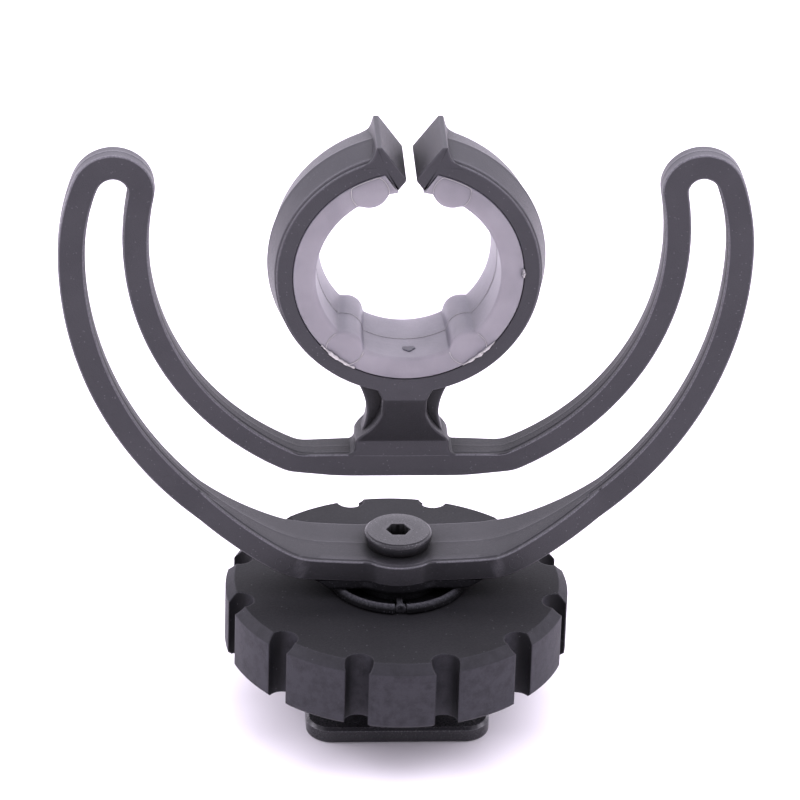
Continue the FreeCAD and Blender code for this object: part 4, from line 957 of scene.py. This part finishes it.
def saddle():
    """The saddle: level rows that follow the bar's outline a little further out, longer towards the
    top, with the lower corner well rounded; a round post below; and a small upright key with a round
    top, tied to it by a low rib."""
    height, rounded = SADDLE_TOP - SADDLE_BASE, SADDLE_BASE + SADDLE_ROUNDING
    levels = [(rounded - SADDLE_ROUNDING * np.sin(turn), SADDLE_ROUNDING * (1 - np.cos(turn)))
              for turn in np.radians(np.linspace(90, 0, 8))]
    levels += [(rounded + share * (SADDLE_TOP - rounded), 0.0) for share in (0.1, 0.5, 1.0)]
    share = np.linspace(-1, 1, 121)
    rows = []
    for level, inset in levels:
        half_length = 6.9 + 1.7 * (level - SADDLE_BASE) / height - inset
        x = share * half_length
        swell = np.sqrt(np.clip(1 - np.clip((np.abs(x) - half_length + 0.5) / 0.5, 0, 1) ** 2, 0, 1))
        y = -(bar_depth_at(x) + SADDLE_LEDGE - inset - 0.5 + 0.5 * swell)
        rows.append(np.concatenate([np.stack([x, y], 1), np.stack([x, -y], 1)[::-1]]))
    plate = np.stack([np.concatenate([row, np.full((len(row), 1), level)], 1)
                      for row, (level, _) in zip(rows, levels)])
    round_turn = np.linspace(0, 2 * np.pi, 72, endpoint=False)
    circle = 4.2 * np.stack([np.cos(round_turn), np.sin(round_turn)], 1)
    barrel = np.stack([np.concatenate([circle, np.full((72, 1), level)], 1)
                       for level in (13.42, 13.5, 14.6, 14.7)])
    skins = [skin(plate), skin(barrel), key_slab(0.555, 13.7, 14.6, -6.95, -6.45, 0.5),
             key_slab(0.3, 13.75, 13.98, -6.7, -4.2, 0.1)]
    piece = make_piece("saddle_and_key", skins, SADDLE_PLASTIC, "base", crease=50)
    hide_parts("lyre_saddle")


def key_slab(half, base, top, front, back, round_top):
    """An upright slab whose top corners are rounded, carried from its front to its back."""
    turns = np.radians(np.linspace(0, 90, 9))
    right = [half - round_top, top - round_top] + round_top * np.stack([np.cos(turns), np.sin(turns)], 1)
    outline = np.concatenate([[[half, base]], right, (right * [-1, 1])[::-1], [[-half, base]]])
    ease = 0.08
    middle = np.array([0.0, (base + top) / 2])
    rows = []
    for depth, inset in ((front, ease), (front + 0.025, 0.025), (front + ease, 0.0), (back - ease, 0.0),
                         (back, ease)):
        shrunk = middle + (outline - middle) * (1 - inset / np.array([half, (top - base) / 2]))
        rows.append(in_space(shrunk, depth))
    return skin(np.stack(rows))


SLOT_HALF = 0.6


def turret():
    """The turret ring: a section turned about Z from one side of the slot at the front round to the
    other; its turns start where the slot's straight sides are, so they depend on the radius."""
    base = 13.66
    profile = [(4.4, 13.02), (4.9, 13.02), (4.92, base), (7.16, base), (7.19, base + 0.03),
               (7.2, base + 0.08), (7.15, 13.86), (7.05, 14.06), (6.93, 14.24), (6.84, 14.36),
               (6.79, 14.43), (6.73, 14.475), (6.65, 14.5), (6.56, 14.49), (6.48, 14.45), (6.4, 14.36),
               (6.34, 14.2), (6.3, 13.95), (6.25, 13.72), (4.4, 13.7)]
    radius, level = np.array(profile).T
    share = np.concatenate([[0, 0.0005], np.linspace(0.004, 0.996, 160), [0.9995, 1]])[:, None]
    edge = np.arcsin(SLOT_HALF / radius)
    turn = edge + share * (2 * np.pi - 2 * edge)
    x, y = radius * np.sin(turn), -radius * np.cos(turn)
    piece = make_piece("turret", [skin(np.stack([x, y, np.broadcast_to(level, x.shape)], -1))],
                       TURRET_PLASTIC, "base", crease=50)
    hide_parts("turret_ring")


# The captive screw's head

SCREW_SEAT = BAR_BASE + BAR_THICKNESS + 0.02
SCREW_HEIGHT = 1.6
SOCKET_HALF = 1.06
SOCKET_DEPTH = 1.5


def screw_head():
    """The screw's head: a hexagon socket with flats to the front and back, a flat disc, a fine groove
    round it and a full round shoulder, as a section turned about Z with hexagons as its inner rows."""
    turn = np.linspace(0, 2 * np.pi, 96, endpoint=False)
    sixth = np.pi / 3
    hexagon = SOCKET_HALF / np.cos(turn % sixth - sixth / 2)
    top = SCREW_SEAT + SCREW_HEIGHT
    rows = [(hexagon * 0.97, top - SOCKET_DEPTH), (hexagon, top - 0.06), (hexagon + 0.05, top)]
    rows += [(hexagon * 0.4 + 1.3, top), (np.full(96, 3.1), top), (np.full(96, 3.14), top - 0.01)]
    lean = np.radians([16, 22, 29, 37, 46, 56, 67, 78, 90])
    section = [(3.155, 0.04), (3.16, 0.065)]
    section += [(3.04 + 0.36 * np.sin(step), 0.42 - 0.36 * np.cos(step)) for step in lean]
    section += [(3.39, 0.6), (3.36, 0.8), (3.31, 1.0), (3.24, 1.2), (3.16, 1.38), (3.1, 1.5), (3.05, 1.58)]
    rows += [(np.full(96, radius), top - down) for radius, down in section]
    rows.append((np.full(96, 2.5), SCREW_SEAT + 0.01))
    grid = np.stack([np.stack([radius * np.cos(turn), radius * np.sin(turn), np.full(96, level)], -1)
                     for radius, level in rows])
    piece = make_piece("screw_head", [skin(grid)], SCREW_BLACK, "base", crease=38, wear_and_sheen=[0.15])
    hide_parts("captive_screw")


# The soft liner

LINER_OUTER = RING_INNER - 0.02
LINER_INNER = LINER_OUTER - 2.37
RIB_RADIUS = 1.87
RIB_CENTRE = LINER_INNER - 0.85 + RIB_RADIUS
RIB_TURNS = np.radians([23.5, 142.5, 217.5, 336.5])


def liner_wall(turn):
    """The bore's radius at a turn: the smaller of the plain bore and the near side of the rib's circle,
    blended by a soft minimum. Where no rib's circle is met, a far radius stands in for it."""
    off = np.abs((turn[:, None] - RIB_TURNS + np.pi) % (2 * np.pi) - np.pi)
    inside = RIB_RADIUS**2 - (RIB_CENTRE * np.sin(off)) ** 2
    near = (inside > 0) & (off < 1)
    rib = np.where(near, RIB_CENTRE * np.cos(off) - np.sqrt(np.clip(inside, 0, None)), 20.0)
    gap = rib.min(1) - LINER_INNER
    blend = 0.4
    step = np.clip(0.5 + 0.5 * gap / blend, 0, 1)
    return LINER_INNER * step + (LINER_INNER + gap) * (1 - step) - blend * step * (1 - step)


def liner():
    """The liner: its section carried round the ring, with the bore's radius taken from the ribs, the
    front bore edge well rounded, the bore narrower towards the back, and both ends cut to the slope of
    the mouth's noses."""
    half = RING_DEPTH / 2
    base = np.linspace(0, 1, 900)
    end_low, end_high = np.radians(7.5), np.radians(13.1)
    nominal = end_low + base * (2 * np.pi - 2 * end_low)
    wall = liner_wall(nominal)
    ease = 0.4
    columns = []
    front = wall + 0.12
    for turn in np.radians([90, 67.5, 45, 22.5, 0]):
        columns.append((front + ease - ease * np.cos(turn), -half + ease - ease * np.sin(turn)))
    columns += [(wall + 0.02, -0.9), (wall, 0.0), (wall - 0.05, 0.4), (wall - 0.44, half - 0.3)]
    back = wall - 0.45
    for turn in np.radians([30, 60, 90]):
        columns.append((back + 0.2 - 0.2 * np.cos(turn), half - 0.2 + 0.2 * np.sin(turn)))
    columns += [(wall + 0.1, half), (LINER_OUTER + 0 * wall - 0.1, half),
                (LINER_OUTER + 0 * wall, half - 0.1), (LINER_OUTER + 0 * wall, 0.1 - half),
                (LINER_OUTER + 0 * wall - 0.1, -half), (front + ease + 0.1, -half)]
    radius = np.stack([column[0] for column in columns], 1)
    depth = np.array([column[1] for column in columns])
    share = np.clip((radius - LINER_INNER) / (LINER_OUTER - LINER_INNER), 0, 1)
    end = end_low + (end_high - end_low) * share
    turn = end + base[:, None] * (2 * np.pi - 2 * end)
    grid = np.stack([radius * np.sin(turn), np.broadcast_to(depth, radius.shape),
                     RING_HEIGHT + radius * np.cos(turn)], -1)
    piece = make_piece("soft_liner", [skin(grid)], LINER_RUBBER, "base", crease=60)
    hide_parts("ring_liner")
    marks = [rib_end_line(turn) for turn in RIB_TURNS]
    marks += [flash(1.5, 1.58, 0.17, 3), flash(2.26, 2.62, 0.16, 5), flash(3.61, 3.98, 0.17, 8)]
    marks.append(bore_line(0.2, 0.05))
    make_piece("liner_flash", marks, FLASH_RUBBER, "base")
    make_piece("gate_scar", [gate_scar()], SCAR_RUBBER, "base")


def tube(path, radius, sides=8):
    """A round tube along a path of points: circles set square to the path, their radius at each point."""
    ahead = np.gradient(path, axis=0)
    ahead /= np.linalg.norm(ahead, axis=1)[:, None]
    side = np.cross(ahead, [0.0, 1.0, 0.0])
    side /= np.linalg.norm(side, axis=1)[:, None]
    over = np.cross(ahead, side)
    turn = np.linspace(0, 2 * np.pi, sides, endpoint=False)[None, :, None]
    reach = np.broadcast_to(radius, (len(path),))[:, None, None]
    return skin(path[:, None] + reach * (np.cos(turn) * side[:, None] + np.sin(turn) * over[:, None]))


def rib_end_line(turn):
    """The fine round line where a rib's end shows in the front face: the part of its circle that lies in
    the wall."""
    around = np.linspace(-2.0, 2.0, 60) + turn
    x = RIB_CENTRE * np.sin(turn) + (RIB_RADIUS - 0.03) * np.sin(around)
    z = RIB_CENTRE * np.cos(turn) + (RIB_RADIUS - 0.03) * np.cos(around)
    radius = np.hypot(x, z)
    pulled = np.minimum(1.0, (LINER_OUTER - 0.1) / radius)
    depth = np.full_like(x, -RING_DEPTH / 2)
    return tube(np.stack([x * pulled, depth, RING_HEIGHT + z * pulled], 1), 0.045, 6)


def bore_line(depth, thick):
    """The parting line in the bore: a fine bead at a depth that follows the bore's wall."""
    turn = np.linspace(0.3, 2 * np.pi - 0.3, 500)
    radius = liner_wall(turn) - 0.02
    return tube(np.stack([radius * np.sin(turn), np.full(500, depth), RING_HEIGHT + radius * np.cos(turn)],
                         1), thick, 6)


def gate_scar():
    """The dark scar of the gate low in the bore: a flat oval whose outline wanders, a little above it."""
    around = np.linspace(0, 2 * np.pi, 40, endpoint=False)
    share = np.array([0.05, 0.5, 0.85, 1.0, 0.98])[:, None]
    lift = np.array([0.05, 0.05, 0.04, 0.0, -0.06])[:, None]
    ragged = 1 + 0.12 * np.sin(3 * around) + 0.08 * np.cos(5 * around + 1)
    x = 0.35 + 0.62 * share * ragged * np.cos(around)
    y = -1.75 + 0.5 * share * ragged * np.sin(around)
    z = RING_HEIGHT - np.sqrt(LINER_INNER**2 - x**2) + lift + 0 * x
    return skin(np.stack([x, y, z], -1))


def flash(start, end, size, seed):
    """A ragged bead of flash along the liner's outer front edge: a tube whose radius and place wander."""
    turn = np.linspace(start, end, 60)
    chance = np.random.default_rng(seed)
    wander = softened(chance.normal(0, 1, (60, 2)), 2.0)
    swell = size * np.sin(np.linspace(0.15, np.pi - 0.15, 60)) ** 0.5 * (0.7 + 0.8 * np.abs(wander[:, 0]))
    radius = LINER_OUTER - 0.05 + 0.25 * size * wander[:, 1]
    path = np.stack([radius * np.sin(turn), np.full(60, -RING_DEPTH / 2),
                     RING_HEIGHT + radius * np.cos(turn)], 1)
    return tube(path, np.clip(swell, 0.03, 0.24))


# Light, floor and camera

LIGHT_TINT = (0.93, 0.885, 1.0)
SKY_DIM, SKY_BRIGHT = 0.35, 2.05


def pale_floor():
    """A wide floor just under the foot."""
    mesh = bpy.data.meshes.new("floor")
    reach = 6.0
    mesh.from_pydata([(-reach, -reach, 0), (reach, -reach, 0), (reach, reach, 0), (-reach, reach, 0)],
                     [], [(0, 1, 2, 3)])
    floor = bpy.data.objects.new("floor", mesh)
    bpy.context.scene.collection.objects.link(floor)
    floor.location.z = -0.00001
    material = bpy.data.materials.new("pale_floor")
    material.use_nodes = True
    shader = material.node_tree.nodes["Principled BSDF"]
    shader.inputs["Base Color"].default_value = (0.9, 0.87, 0.9, 1)
    shader.inputs["Roughness"].default_value = 0.9
    shader.inputs["Specular IOR Level"].default_value = 0.1
    mesh.materials.append(material)


def aimed(obj, place, target):
    """Put an object at a place and turn its -Z towards a target."""
    obj.location = Vector(place)
    obj.rotation_euler = (Vector(target) - Vector(place)).to_track_quat("-Z", "Y").to_euler()


def soft_light(name, place, size, power):
    """A square area light aimed at the mount."""
    light = bpy.data.lights.new(name, "AREA")
    light.size = size
    light.energy = power
    light.color = LIGHT_TINT
    lamp = bpy.data.objects.new(name, light)
    bpy.context.scene.collection.objects.link(lamp)
    aimed(lamp, place, (0, 0, 0.03))


def studio():
    """A sky that grows brighter towards the top and the back, with a large lamp above and behind, and a
    smaller one each side."""
    world = bpy.data.worlds.new("studio")
    world.use_nodes = True
    tree = world.node_tree
    back = tree.nodes["Background"]
    way = add(tree, "ShaderNodeTexCoord").outputs["Generated"]
    towards = add(tree, "ShaderNodeVectorMath", operation="DOT_PRODUCT")
    towards.inputs[1].default_value = (0.08, 0.55, 0.83)
    wire(tree, (way, towards.inputs[0]),
         (scaled(tree, towards.outputs["Value"], -0.6, 0.9, SKY_DIM, SKY_BRIGHT), back.inputs[1]))
    back.inputs[0].default_value = (*LIGHT_TINT, 1)
    bpy.context.scene.world = world
    soft_light("top_lamp", (0.15, 0.2, 0.9), 1.2, 7.0)
    soft_light("left_lamp", (-0.6, 0.05, 0.4), 0.35, 2.8)
    soft_light("right_lamp", (0.6, 0.0, 0.45), 0.35, 2.0)


SENSOR_WIDTH = 36
FOCAL_PIXELS, PHOTO_PIXELS = 5183.467, 800


def photo_camera():
    """The camera: elevation, turn and roll about a point near the lyre's middle."""
    elevation, turn, roll = np.radians([28.6088, -4.045, 1.7325])
    distance = 0.514488
    target = np.array([-0.000223, 0.0, 0.034162])
    level = np.cos(elevation)
    back = np.array([np.sin(turn) * level, -np.cos(turn) * level, np.sin(elevation)])
    right = np.array([np.cos(turn), np.sin(turn), 0.0])
    up = np.cross(back, right)
    rolled_right = right * np.cos(roll) + up * np.sin(roll)
    rolled_up = up * np.cos(roll) - right * np.sin(roll)
    data = bpy.data.cameras.new("photo_camera")
    data.sensor_width = SENSOR_WIDTH
    data.lens = FOCAL_PIXELS / PHOTO_PIXELS * SENSOR_WIDTH
    data.clip_start = 0.01
    data.clip_end = 50
    camera = bpy.data.objects.new("photo_camera", data)
    bpy.context.scene.collection.objects.link(camera)
    matrix = np.eye(4)
    matrix[:3] = np.stack([rolled_right, rolled_up, back, target + back * distance], 1)
    camera.matrix_world = Matrix(matrix.tolist())
    bpy.context.scene.camera = camera


photo_camera()
studio()
pale_floor()
bpy.context.scene.view_settings.view_transform = "Standard"

NODE_FINISH = {
    "shoe_foot": FOOT_PLASTIC,
    "stem": STEEL,
    "screw_bush": BRASS,
    "tripod_bush": BRASS,
    "pressure_plate": STEEL,
    "thrust_washer": SADDLE_PLASTIC,
    "wheel_bush": BRASS,
    "thumb_wheel": WHEEL_RUBBER,
    "turret_ring": TURRET_PLASTIC,
    "lyre_saddle": SADDLE_PLASTIC,
    "captive_screw": SCREW_BLACK,
    "lyre": LYRE_PLASTIC,
    "ring_liner": LINER_RUBBER,
}
for node_name, finish in NODE_FINISH.items():
    if not nodes[node_name].material_slots:
        nodes[node_name].data.materials.append(finish)
    for slot in nodes[node_name].material_slots:
        slot.material = finish

lyre()
saddle()
turret()
screw_head()
liner()
